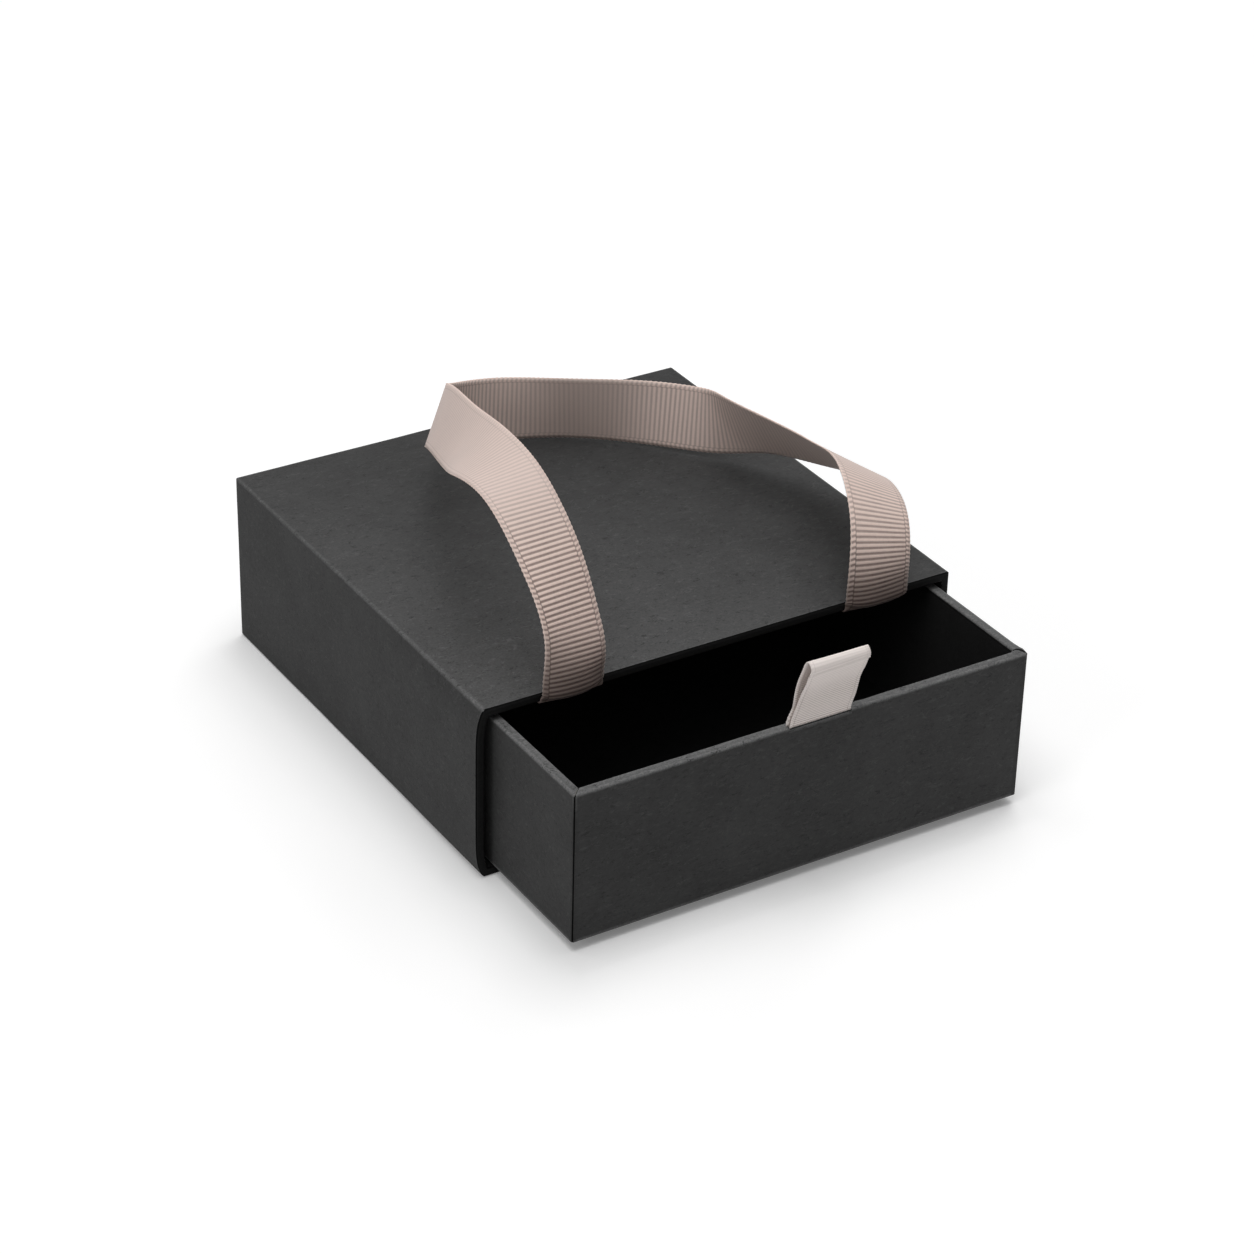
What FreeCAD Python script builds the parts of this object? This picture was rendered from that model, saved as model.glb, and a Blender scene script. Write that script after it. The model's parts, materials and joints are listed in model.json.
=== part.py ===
"""Sliding drawer gift box: a paper-wrapped greyboard sleeve, closed at the back, with a ribbon
handle at its mouth, and an open tray that slides in it and is pulled by a ribbon tab.

Millimetres. The origin is the centre of the sleeve's underside, +Z up. The mouth faces -Y.
The tray stands part of the way out, the handle lies back on the sleeve and the tab leans forward.
"""
import FreeCAD, Part
import os
import re
import Sketcher

# ---------------------------------------------------------------- driving sizes
# alias, value, meaning
DRIVING = (
    ("sleeve_width", 120.0, "sleeve, outside, left to right"),
    ("sleeve_depth", 118.0, "sleeve, outside, mouth to back"),
    ("sleeve_height", 42.5, "sleeve, outside, underside to top"),
    ("sleeve_board", 1.6, "greyboard of the sleeve"),
    ("tray_board", 1.9, "greyboard of the tray"),
    ("paper", 0.15, "wrapping and lining paper"),
    ("tape", 0.1, "paper tape under the wrap, along the boards' joints"),
    ("tape_leg", 9.0, "how far a tape reaches from its corner"),
    ("wrap_bend", 0.3, "outer radius of the wrap where it turns a board's edge"),
    ("turn_in", 15.0, "how far the wrap is turned in at the mouth and over the rim"),
    ("base_inset", 1.0, "base sheet's margin to the sleeve's sides"),
    ("side_gap", 0.4, "tray to sleeve, each side"),
    ("under_gap", 0.3, "tray to sleeve, below"),
    ("over_gap", 1.3, "tray to sleeve, above"),
    ("back_gap", 1.0, "closed tray to the sleeve's back"),
    ("front_proud", 1.5, "closed tray's front, ahead of the mouth"),
    ("tray_out", 31.5, "how far the tray stands open"),
    ("ribbon_width", 15.5, "grosgrain ribbon"),
    ("ribbon_thick", 0.4, "grosgrain ribbon"),
    ("handle_spread", 78.0, "between the handle's two ends, centre to centre"),
    ("handle_glued", 20.0, "ribbon glued under the sleeve's top"),
    ("handle_bulge", 2.5, "inner radius of the ribbon where it rises at the mouth"),
    ("handle_rise", 0.5, "straight ribbon above that bend"),
    ("hinge_gap", 0.65, "bending line to the free ribbon"),
    ("handle_straight", 3.0, "free ribbon that rises straight before it curves"),
    ("tab_offset", 3.0, "pull tab's middle, right of the tray's middle"),
    ("tab_length", 22.0, "pull tab's loop, rim to fold"),
    ("tab_fold", 1.5, "half of the loop's thickness at its fold"),
    ("fold_roundness", 0.9, "fold's corner radius, as a share of half its thickness"),
    ("tab_lean", 18.0, "degrees that the tab leans forward"),
    ("tab_glued", 18.0, "tab's ends, glued behind the front sheet"),
    ("tab_lift", 0.45, "rim to the tab's bending line"),
    ("ply_gap", 0.1, "play round the tab's two plies"),
    ("slit_length", 21.0, "slit in the front sheet, along the rim"),
)

# ---------------------------------------------------------------- sizes that follow from them
# alias, formula, meaning
FITS = (
    ("skin", "paper + tape", "outer face to the board behind it"),
    ("sleeve_wall", "skin + sleeve_board + paper", "sleeve's side, top and back"),
    ("sleeve_floor", "paper + sleeve_wall", "sleeve's bottom with its base sheet"),
    ("half_width", "sleeve_width / 2", "middle to the sleeve's side"),
    ("half_depth", "sleeve_depth / 2", "middle to the mouth"),
    ("case_x", "half_width - skin", "sleeve boards, outer face of the sides"),
    ("case_low", "paper + skin", "sleeve boards, outer face of the bottom"),
    ("case_top", "sleeve_height - skin", "sleeve boards, outer face of the top"),
    ("case_back", "half_depth - skin", "sleeve boards, outer face of the back"),
    ("hollow_x", "half_width - sleeve_wall", "sleeve's hollow, half of its width"),
    ("hollow_top", "sleeve_height - sleeve_wall", "sleeve's hollow, its ceiling"),
    ("tray_wall", "skin + tray_board + paper", "tray's side"),
    ("tray_floor", "paper + tray_board + paper", "tray's bottom"),
    ("tray_half", "hollow_x - side_gap", "middle to the tray's side"),
    ("tray_depth", "sleeve_depth - sleeve_wall - back_gap + front_proud", "tray, front to back"),
    ("tray_height", "hollow_top - sleeve_floor - under_gap - over_gap", "tray, underside to rim"),
    ("tray_y", "-(half_depth + front_proud + tray_out)", "front face of the tray, standing open"),
    ("tray_z", "sleeve_floor + under_gap", "tray's underside"),
    ("tail_y", "half_depth + handle_bulge + ribbon_thick", "rising ribbon's outer face"),
    ("tail_top", "hollow_top + handle_bulge + handle_rise", "handle's bending line, height"),
    ("tab_half", "ribbon_thick + ply_gap / 2", "half of the tab's two plies"),
    ("slit_y", "paper + ply_gap / 2 + tab_half", "slit's middle, behind the front face"),
)

# Handle ribbon, from its left end to its right end: the edge that is outermost at the ends, then
# the other edge. Each point is x, distance behind the mouth and height over the sleeve's top.
# The rungs at the two ends are left out: they follow from the handle's own sizes.
HANDLE_RUNGS = (
    ((-46.5, -2, 13), (-31, 1, 12.5)),
    ((-47, 8.5, 27.5), (-31.5, 10, 27.5)),
    ((-47, 23, 35.5), (-32, 23.5, 38)),
    ((-44.5, 38.5, 32.5), (-31.5, 39, 41)),
    ((-36.5, 59, 23.5), (-28, 61.5, 36)),
    ((-29, 79.5, 16.5), (-22, 83, 30)),
    ((-17, 97, 5.5), (-13, 102.5, 19.5)),
    ((1.5, 103, 1), (3, 106.5, 16)),
    ((21.5, 94.5, 0.5), (22, 95.5, 16)),
    ((36, 80.5, 1), (36.5, 82.5, 16.5)),
    ((48.5, 63, 4.5), (43, 62, 19)),
    ((57, 39, 9), (47, 37, 20.5)),
    ((54, 19.5, 18), (40.5, 16, 24.5)),
    ((49.5, 4, 16.5), (34.5, 3, 19)),
)
SECTIONS_PER_RUNG = 3
RISING_SHARES = (0, 0.5, 1)
HAIR = 0.001

document = FreeCAD.newDocument("drawer_gift_box")
SHEET_OF = {alias: "Sizes" for alias, _, _ in DRIVING}
SHEET_OF.update({alias: "Fits" for alias, _, _ in FITS})


def expression(text):
    """Put each size's sheet in front of its name."""
    return re.sub(r"[a-z_]+", lambda word: f"{SHEET_OF[word[0]]}.{word[0]}"
                  if word[0] in SHEET_OF else word[0], text)


def write_sheet(name, rows):
    sheet = document.addObject("Spreadsheet::Sheet", name)
    for line, (alias, content, meaning) in enumerate(rows, 1):
        sheet.set(f"A{line}", meaning)
        sheet.set(f"B{line}", content)
        sheet.setAlias(f"B{line}", alias)


write_sheet("Sizes", [(alias, str(value), meaning) for alias, value, meaning in DRIVING])
write_sheet("Fits", [(alias, "=" + expression(text), meaning) for alias, text, meaning in FITS])
document.recompute()


def size(alias):
    """A size as a plain number, for what code has to choose or shape."""
    return float(document.getObject(SHEET_OF[alias]).get(alias))


# ---------------------------------------------------------------- ways to make a piece
PIECES = []
SLEEVE_ORIGIN = ("0", "0", "0")
TRAY_ORIGIN = ("0", "tray_y", "tray_z")


def keep(kind, name):
    """A new object that is one of the pieces; its label names its file."""
    piece = document.addObject(kind, name)
    piece.Label = name
    PIECES.append(piece)
    return piece


def flat_piece(name, low, high, origin=SLEEVE_ORIGIN):
    """A flat board or sheet between two corners, each given as three expressions."""
    flat = keep("Part::Box", name)
    for axis, side, start, end, base in zip("xyz", ("Length", "Width", "Height"), low, high, origin):
        flat.setExpression("Placement.Base." + axis, expression(f"{base} + {start}"))
        flat.setExpression(side, expression(f"({end}) - ({start})"))


def new_body(name, origin=SLEEVE_ORIGIN):
    body = keep("PartDesign::Body", name)
    for axis, base in zip("xyz", origin):
        body.setExpression("Placement.Base." + axis, expression(base))
    return body


def rectangle(low_u, high_u, low_v, high_v):
    return [(low_u, low_v), (high_u, low_v), (high_u, high_v), (low_u, high_v)]


def outline(body, plane, level, loops):
    """Closed outlines on one of the body's own planes; every corner is held by expressions."""
    sketch = body.newObject("Sketcher::SketchObject", body.Name + "_outline")
    base = next(item for item in body.Origin.OriginFeatures if item.Role == plane)
    sketch.AttachmentSupport = [(base, "")]
    sketch.MapMode = "FlatFace"
    sketch.setExpression("AttachmentOffset.Base.z", expression(level))
    for corners in loops:
        first = sketch.GeometryCount
        count = len(corners)
        start = FreeCAD.Vector(size("sleeve_width"), 0, 0)
        upright = FreeCAD.Vector(0, 0, 1)
        spots = [FreeCAD.Rotation(upright, 360 * i / count).multVec(start) for i in range(count)]
        for i in range(count):
            sketch.addGeometry(Part.LineSegment(spots[i], spots[(i + 1) % count]))
        for i, (across, along) in enumerate(corners):
            following = first + (i + 1) % count
            sketch.addConstraint(Sketcher.Constraint("Coincident", first + i, 2, following, 1))
            for kind, text, place in (("DistanceX", across, spots[i].x),
                                      ("DistanceY", along, spots[i].y)):
                held = Sketcher.Constraint(kind, -1, 1, first + i, 1, place)
                number = sketch.addConstraint(held)
                sketch.setExpression(f"Constraints[{number}]", expression(text))
    return sketch


def pad(body, plane, start, end, *loops):
    """Material between two levels along the plane's axis."""
    level = f"-({end})" if plane == "XZ_Plane" else start
    feature = body.newObject("PartDesign::Pad", body.Name + "_pad")
    feature.Profile = outline(body, plane, level, loops)
    feature.setExpression("Length", expression(f"({end}) - ({start})"))
    document.recompute()


def pocket(body, plane, start, end, *loops):
    """A cut between two levels along the plane's axis; it must take something away."""
    before = body.Shape.Volume
    level = f"-({start})" if plane == "XZ_Plane" else end
    feature = body.newObject("PartDesign::Pocket", body.Name + "_pocket")
    feature.Profile = outline(body, plane, level, loops)
    feature.setExpression("Length", expression(f"({end}) - ({start})"))
    document.recompute()
    if body.Shape.Volume >= before:
        raise RuntimeError(f"{feature.Name} cuts nothing")


def fillet(body, radius, wanted):
    """Round the edges of the body's last feature that the wanted function picks."""
    last = body.Tip
    names = [f"Edge{i}" for i, edge in enumerate(last.Shape.Edges, 1) if wanted(edge)]
    feature = body.newObject("PartDesign::Fillet", body.Name + "_fillet")
    feature.Base = (last, names)
    feature.setExpression("Radius", expression(radius))
    document.recompute()


def runs_along(edge, axis):
    """True for a straight edge along x, y or z."""
    box = edge.BoundBox
    lengths = {"x": box.XLength, "y": box.YLength, "z": box.ZLength}
    return all(length < HAIR for other, length in lengths.items() if other != axis)


def middle_of(edge):
    return edge.BoundBox.Center


def tape(name, plane, corner, inward, start, end, origin=SLEEVE_ORIGIN):
    """An L of paper tape round a corner of the boards, given the wrap's inner corner."""
    (u, v), (to_u, to_v) = corner, inward
    body = new_body(name, origin)
    pad(body, plane, start, end, [
        (u, v),
        (f"{u} {to_u} tape_leg", v),
        (f"{u} {to_u} tape_leg", f"{v} {to_v} tape"),
        (f"{u} {to_u} tape", f"{v} {to_v} tape"),
        (f"{u} {to_u} tape", f"{v} {to_v} tape_leg"),
        (u, f"{v} {to_v} tape_leg")])


# ---------------------------------------------------------------- sleeve
def sleeve_boards():
    """One board scored and folded into four mitred panels, and a back panel glued between them."""
    mouth, back = "-(half_depth - paper)", "case_back"
    out_x, in_x = "case_x", "(case_x - sleeve_board)"
    low, in_low = "case_low", "(case_low + sleeve_board)"
    top, in_top = "case_top", "(case_top - sleeve_board)"
    panels = {
        "sleeve_top_board": [("-" + out_x, top), (out_x, top), (in_x, in_top), ("-" + in_x, in_top)],
        "sleeve_bottom_board": [("-" + out_x, low), (out_x, low), (in_x, in_low), ("-" + in_x, in_low)],
        "sleeve_left_board": [("-" + out_x, low), ("-" + out_x, top), ("-" + in_x, in_top),
                              ("-" + in_x, in_low)],
        "sleeve_right_board": [(out_x, low), (out_x, top), (in_x, in_top), (in_x, in_low)],
    }
    for name, profile in panels.items():
        pad(new_body(name), "XZ_Plane", mouth, back, profile)
    flat_piece("sleeve_back_board", ("-" + in_x, "case_back - sleeve_board", in_low),
               (in_x, "case_back", in_top))


def sleeve_papers():
    """The outer wrap, turned in at the mouth, the base sheet, the lining and the joints' tapes."""
    wrap = new_body("sleeve_wrap")
    pad(wrap, "XZ_Plane", "-half_depth", "half_depth",
        rectangle("-half_width", "half_width", "paper", "sleeve_height"))
    fillet(wrap, "wrap_bend", lambda edge: True)
    pocket(wrap, "XZ_Plane", "-(half_depth - paper)", "half_depth - paper",
           rectangle("-(half_width - paper)", "half_width - paper",
                     "2 * paper", "sleeve_height - paper"))
    hollow = rectangle("-hollow_x", "hollow_x", "sleeve_floor", "hollow_top")
    pocket(wrap, "XZ_Plane", "-half_depth", "-(half_depth - paper)", hollow)
    inner_faces = rectangle("-(hollow_x + paper)", "hollow_x + paper",
                            "sleeve_floor - paper", "hollow_top + paper")
    pad(wrap, "XZ_Plane", "-(half_depth - paper)", "-(half_depth - turn_in)", inner_faces, hollow)

    lining = new_body("sleeve_lining")
    pad(lining, "XZ_Plane", "-(half_depth - turn_in)", "half_depth - sleeve_wall + paper",
        inner_faces)
    pocket(lining, "XZ_Plane", "-(half_depth - turn_in)", "half_depth - sleeve_wall", hollow)

    flat_piece("sleeve_base_sheet",
               ("-(half_width - base_inset)", "-(half_depth - base_inset)", "0"),
               ("half_width - base_inset", "half_depth - base_inset", "paper"))

    for side, u, to_u in (("left", "-(half_width - paper)", "+"), ("right", "half_width - paper", "-")):
        for level, v, to_v in (("lower", "2 * paper", "+"), ("upper", "sleeve_height - paper", "-")):
            tape(f"sleeve_tape_{level}_{side}", "XZ_Plane", (u, v), (to_u, to_v),
                 "-(half_depth - paper)", "case_back")


# ---------------------------------------------------------------- ribbon handle
def handle_tail(name, middle):
    """A glued end of the ribbon: flat under the sleeve's top, then bent up ahead of the mouth."""
    tail = new_body(name)
    front, behind = "-tail_y", "-(tail_y - ribbon_thick)"
    pad(tail, "YZ_Plane", f"{middle} - ribbon_width / 2", f"{middle} + ribbon_width / 2", [
        ("-(half_depth - handle_glued)", "hollow_top - ribbon_thick"),
        (front, "hollow_top - ribbon_thick"),
        (front, "tail_top"),
        (behind, "tail_top"),
        (behind, "hollow_top"),
        ("-(half_depth - handle_glued)", "hollow_top")])
    outer_y, inner_y = -size("tail_y"), -(size("tail_y") - size("ribbon_thick"))
    outer_z, inner_z = size("hollow_top") - size("ribbon_thick"), size("hollow_top")
    fillet(tail, "handle_bulge + ribbon_thick", lambda edge: runs_along(edge, "x")
           and abs(middle_of(edge).y - outer_y) < HAIR and abs(middle_of(edge).z - outer_z) < HAIR)
    fillet(tail, "handle_bulge", lambda edge: runs_along(edge, "x")
           and abs(middle_of(edge).y - inner_y) < HAIR and abs(middle_of(edge).z - inner_z) < HAIR)


def handle_loop():
    """The free ribbon: a strip that rises, turns over at the left and stands on its lower edge."""
    half = size("ribbon_width") / 2
    side = size("handle_spread") / 2
    start_y = size("half_depth") - size("tail_y") + size("ribbon_thick") / 2
    start_z = size("tail_top") + size("hinge_gap") - size("sleeve_height")

    def rising(sign):
        """The straight start of the free ribbon at one end, from the bending line up."""
        return [tuple((sign * x, start_y, start_z + share * size("handle_straight"))
                      for x in (side + half, side - half)) for share in RISING_SHARES]
    rungs = [*rising(-1), *HANDLE_RUNGS, *reversed(rising(1))]
    outer, inner = ([FreeCAD.Vector(*rung[edge]) for rung in rungs] for edge in (0, 1))
    middles = [(a + b) / 2 for a, b in zip(outer, inner)]
    path = through(middles)
    knots = [path.parameter(point) for point in middles]
    edges = [through(points, knots) for points in (outer, inner)]

    stations = [low + (high - low) * step / SECTIONS_PER_RUNG
                for low, high in zip(knots, knots[1:]) for step in range(SECTIONS_PER_RUNG)]
    stations.append(knots[-1])
    sections = [strip_section(path, edges, at) for at in stations]
    long_edges = [through(corner, stations).toShape() for corner in zip(*sections)]
    faces = [Part.makeRuledSurface(edge, long_edges[i - 1]) for i, edge in enumerate(long_edges)]
    for section in (sections[0], sections[-1]):
        faces.append(Part.Face(Part.makePolygon([*section, section[0]])))
    shell = Part.makeShell(faces)
    shell.sewShape()
    solid = Part.makeSolid(shell)
    if solid.Volume < 0:
        solid.reverse()
    ribbon = keep("Part::Feature", "handle_ribbon")
    ribbon.Shape = solid
    ribbon.Placement.Base = FreeCAD.Vector(0, -size("half_depth"), size("sleeve_height"))


def through(points, parameters=None):
    """A smooth curve through the points, which it passes at those parameters if they are given."""
    curve = Part.BSplineCurve()
    if parameters is None:
        curve.interpolate(Points=list(points))
    else:
        curve.interpolate(Points=list(points), Parameters=list(parameters))
    return curve


def strip_section(path, edges, at):
    """The four corners of the ribbon's section; where it stands on edge, spare width goes up."""
    along = path.tangent(at)[0]
    width = edges[1].value(at) - edges[0].value(at)
    spare = (size("ribbon_width") - width.Length) / 2
    width.normalize()
    middle = path.value(at) + width * (width.z * spare)
    width = (width - along * width.dot(along)).normalize() * size("ribbon_width") / 2
    thick = along.cross(width).normalize() * size("ribbon_thick") / 2
    return [middle - width - thick, middle + width - thick,
            middle + width + thick, middle - width + thick]


# ---------------------------------------------------------------- tray
def tray_boards():
    """Four walls, mitred at the corners, round a bottom board; the front one takes the tab's ends."""
    out_x, in_x = "(tray_half - skin)", "(tray_half - skin - tray_board)"
    front, in_front = "skin", "(skin + tray_board)"
    back, in_back = "(tray_depth - skin)", "(tray_depth - skin - tray_board)"
    walls = {
        "tray_front_board": [("-" + out_x, front), (out_x, front), (in_x, in_front),
                             ("-" + in_x, in_front)],
        "tray_back_board": [("-" + out_x, back), (out_x, back), (in_x, in_back),
                            ("-" + in_x, in_back)],
        "tray_left_board": [("-" + out_x, front), ("-" + out_x, back), ("-" + in_x, in_back),
                            ("-" + in_x, in_front)],
        "tray_right_board": [(out_x, front), (out_x, back), (in_x, in_back), (in_x, in_front)],
    }
    for name, profile in walls.items():
        wall = new_body(name, TRAY_ORIGIN)
        pad(wall, "XY_Plane", "paper", "tray_height - paper", profile)
        if name == "tray_front_board":
            pocket(wall, "XY_Plane", "tray_height - tab_glued - ply_gap", "tray_height - paper",
                   rectangle("tab_offset - ribbon_width / 2 - ply_gap",
                             "tab_offset + ribbon_width / 2 + ply_gap",
                             "skin - tape", "2 * slit_y - paper"))
    flat_piece("tray_bottom_board", ("-" + in_x, in_front, "paper"),
               (in_x, in_back, "paper + tray_board"), TRAY_ORIGIN)


def rim_skin(name):
    """The tray's outer paper: up the walls, over the rim and down inside, all the way round."""
    skin = new_body(name, TRAY_ORIGIN)

    def ring(inset):
        return rectangle(f"-(tray_half - {inset})", f"tray_half - {inset}",
                         inset, f"tray_depth - {inset}")
    pad(skin, "XY_Plane", "0", "tray_height", ring("0"))
    fillet(skin, "wrap_bend", lambda edge: middle_of(edge).z > HAIR)
    pocket(skin, "XY_Plane", "0", "tray_height - paper", ring("paper"))
    pocket(skin, "XY_Plane", "tray_height - paper", "tray_height", ring("tray_wall"))
    pad(skin, "XY_Plane", "tray_height - turn_in", "tray_height - paper",
        ring("(tray_wall - paper)"), ring("tray_wall"))
    return skin


def tray_papers():
    """The wrap and the front sheet, which meet in mitres on the rim, the lining and the rest."""
    beyond = "(tray_half + paper)"
    mitre = [("tray_half - paper", "paper"), ("tray_half - tray_wall", "tray_wall"),
             ("-(tray_half - tray_wall)", "tray_wall"), ("-(tray_half - paper)", "paper")]

    wrap = rim_skin("tray_wrap")
    pocket(wrap, "XY_Plane", "-paper", "tray_height + paper",
           [("-" + beyond, "-paper"), (beyond, "-paper"), (beyond, "paper"), *mitre,
            ("-" + beyond, "paper")])

    front = rim_skin("tray_front_sheet")
    pocket(front, "XY_Plane", "-paper", "tray_height + paper",
           [("-" + beyond, "tray_depth + paper"), (beyond, "tray_depth + paper"),
            (beyond, "paper"), *mitre, ("-" + beyond, "paper")])
    pocket(front, "XY_Plane", "tray_height - paper", "tray_height",
           rectangle("tab_offset - slit_length / 2", "tab_offset + slit_length / 2",
                     "paper", "2 * slit_y - paper"))

    lining = new_body("tray_lining", TRAY_ORIGIN)
    inset = "(tray_wall - paper)"
    pad(lining, "XY_Plane", "tray_floor - paper", "tray_height - turn_in",
        rectangle(f"-(tray_half - {inset})", f"tray_half - {inset}", inset, f"tray_depth - {inset}"))
    pocket(lining, "XY_Plane", "tray_floor", "tray_height - turn_in",
           rectangle("-(tray_half - tray_wall)", "tray_half - tray_wall",
                     "tray_wall", "tray_depth - tray_wall"))

    flat_piece("tray_base_sheet", ("-(tray_half - paper)", "paper", "0"),
               ("tray_half - paper", "tray_depth - paper", "paper"), TRAY_ORIGIN)

    for side, u, to_u in (("left", "-(tray_half - paper)", "+"), ("right", "tray_half - paper", "-")):
        for end, v, to_v in (("front", "paper", "+"), ("back", "tray_depth - paper", "-")):
            tape(f"tray_tape_{end}_{side}", "XY_Plane", (u, v), (to_u, to_v),
                 "paper", "tray_height - paper", TRAY_ORIGIN)


# ---------------------------------------------------------------- pull tab
def tab_ends():
    """The tab's two ends, one on the other, down the slit and behind the front sheet."""
    flat_piece("pull_tab_ends",
               ("tab_offset - ribbon_width / 2", "slit_y - tab_half", "tray_height - tab_glued"),
               ("tab_offset + ribbon_width / 2", "slit_y + tab_half", "tray_height"), TRAY_ORIGIN)


def tab_loop():
    """The ribbon folded over: two plies that meet at the rim and part towards the fold."""
    tab = new_body("pull_tab", ("0", "tray_y + slit_y", "tray_z + tray_height + tab_lift"))
    pad(tab, "YZ_Plane", "tab_offset - ribbon_width / 2", "tab_offset + ribbon_width / 2", [
        ("-tab_half", "hinge_gap"),
        ("-tab_fold", "tab_length"),
        ("tab_fold", "tab_length"),
        ("tab_half", "hinge_gap"),
        ("tab_half - ribbon_thick", "hinge_gap"),
        ("tab_fold - ribbon_thick", "tab_length - ribbon_thick"),
        ("-(tab_fold - ribbon_thick)", "tab_length - ribbon_thick"),
        ("-(tab_half - ribbon_thick)", "hinge_gap")])
    top, under = size("tab_length"), size("tab_length") - size("ribbon_thick")
    fillet(tab, "tab_fold * fold_roundness", lambda edge: runs_along(edge, "x")
           and abs(middle_of(edge).z - top) < HAIR)
    fillet(tab, "(tab_fold - ribbon_thick) * fold_roundness", lambda edge: runs_along(edge, "x")
           and abs(middle_of(edge).z - under) < HAIR)
    tab.Placement.Rotation = FreeCAD.Rotation(FreeCAD.Vector(1, 0, 0), size("tab_lean"))
    tab.setExpression("Placement.Rotation.Angle", expression("tab_lean"))


# ---------------------------------------------------------------- build, check and write
def check():
    for item in document.Objects:
        if {"Invalid", "Error"} & set(item.State):
            raise RuntimeError(f"{item.Name} failed: {item.State}")
    for piece in PIECES:
        if piece.Shape.isNull() or not piece.Shape.isValid():
            raise RuntimeError(f"{piece.Label} has no valid shape")


def write():
    os.makedirs("parts", exist_ok=True)
    for piece in PIECES:
        piece.Shape.exportStep(f"parts/{piece.Label}.step")
        print(f"{piece.Label:24} {len(piece.Shape.Solids)} solid  {piece.Shape.Volume:10.1f} mm3")


sleeve_boards()
sleeve_papers()
handle_tail("handle_end_left", "-handle_spread / 2")
handle_tail("handle_end_right", "handle_spread / 2")
handle_loop()
tray_boards()
tray_papers()
tab_ends()
tab_loop()
document.recompute()
check()
write()
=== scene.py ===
# %% [markdown]
# # A drawer gift box with a ribbon handle
# The real box is made of grey board, wrapped in dark paper: a sleeve that is closed at the back,
# and a tray that slides in it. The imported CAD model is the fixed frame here. It gives each part's
# true size and place, and what is modelled below is the paper and the ribbon that the eye sees.

import json
import math

import bmesh
import bpy
import numpy as np
from mathutils import Matrix, Vector

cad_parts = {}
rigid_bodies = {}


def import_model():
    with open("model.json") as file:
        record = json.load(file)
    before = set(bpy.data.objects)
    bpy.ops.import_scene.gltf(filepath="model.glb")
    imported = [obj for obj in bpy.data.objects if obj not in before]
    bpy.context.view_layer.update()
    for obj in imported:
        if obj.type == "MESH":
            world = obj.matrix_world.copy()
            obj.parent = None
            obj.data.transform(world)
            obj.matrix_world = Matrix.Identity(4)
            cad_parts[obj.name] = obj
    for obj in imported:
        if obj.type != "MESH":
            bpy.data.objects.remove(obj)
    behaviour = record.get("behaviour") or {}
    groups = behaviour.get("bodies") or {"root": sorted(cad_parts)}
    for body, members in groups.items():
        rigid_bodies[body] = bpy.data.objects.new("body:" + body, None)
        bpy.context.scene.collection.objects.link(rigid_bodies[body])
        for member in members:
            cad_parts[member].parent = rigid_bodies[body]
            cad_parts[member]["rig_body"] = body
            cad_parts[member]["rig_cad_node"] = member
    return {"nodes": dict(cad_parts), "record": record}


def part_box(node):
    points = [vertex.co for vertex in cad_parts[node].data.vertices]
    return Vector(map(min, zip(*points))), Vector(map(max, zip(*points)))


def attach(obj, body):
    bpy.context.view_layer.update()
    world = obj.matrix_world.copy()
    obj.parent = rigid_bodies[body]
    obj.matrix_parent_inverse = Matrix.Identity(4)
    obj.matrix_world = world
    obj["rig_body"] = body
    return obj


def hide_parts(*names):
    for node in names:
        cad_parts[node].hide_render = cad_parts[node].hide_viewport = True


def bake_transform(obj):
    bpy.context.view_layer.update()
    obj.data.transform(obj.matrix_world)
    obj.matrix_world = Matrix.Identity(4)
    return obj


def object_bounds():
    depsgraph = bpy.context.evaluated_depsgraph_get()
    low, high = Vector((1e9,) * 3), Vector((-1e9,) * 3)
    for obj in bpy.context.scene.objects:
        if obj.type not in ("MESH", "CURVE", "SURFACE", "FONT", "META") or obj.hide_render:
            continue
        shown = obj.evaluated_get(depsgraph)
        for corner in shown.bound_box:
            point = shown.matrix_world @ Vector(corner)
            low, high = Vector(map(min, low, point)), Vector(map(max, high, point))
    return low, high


MM = 0.001

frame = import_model()
cad_low, cad_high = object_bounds()
print("CAD box in mm:", [round(side / MM, 1) for side in cad_high - cad_low])

# %% [markdown]
# ## The camera
# The box is seen from its left front corner and from above, from 85 cm away and with a long
# lens, so that its edges hardly converge. The camera is set by its bearing round the box, its
# height above the horizon and a slight roll, which is easier to adjust than three angles.

# %% Place the camera
BEARING, HEIGHT_ANGLE, ROLL = (math.radians(angle) for angle in (-32.14, 30.55, 1.44))
SIDEWAYS, UPWARDS, AWAY = 10.34 * MM, 12.96 * MM, 845.7 * MM
LENS = 103.27
toward_camera = Vector((math.sin(BEARING) * math.cos(HEIGHT_ANGLE),
                        -math.cos(BEARING) * math.cos(HEIGHT_ANGLE), math.sin(HEIGHT_ANGLE)))
level = Vector((math.cos(BEARING), math.sin(BEARING), 0))
steep = toward_camera.cross(level)
picture_right = math.cos(ROLL) * level + math.sin(ROLL) * steep
picture_up = math.cos(ROLL) * steep - math.sin(ROLL) * level

bpy.ops.object.camera_add(
    location=picture_right * SIDEWAYS + picture_up * UPWARDS + toward_camera * AWAY)
camera = bpy.context.object
camera.rotation_euler = Matrix((picture_right, picture_up, toward_camera)).transposed().to_euler()
camera.data.lens = LENS
camera.data.clip_start = 0.05
bpy.context.scene.camera = camera
bpy.context.scene.view_settings.view_transform = "Standard"
print("camera", round(camera.location.length, 3), "m away, lens", round(camera.data.lens, 1), "mm")

# %% [markdown]
# ## Building materials from nodes
# Each finish is a small tree of nodes. A few helpers keep the trees readable: they add a node
# with its settings and sockets, start a material with its shader's constants, and join the
# finished colour and bump to the shader.

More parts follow.
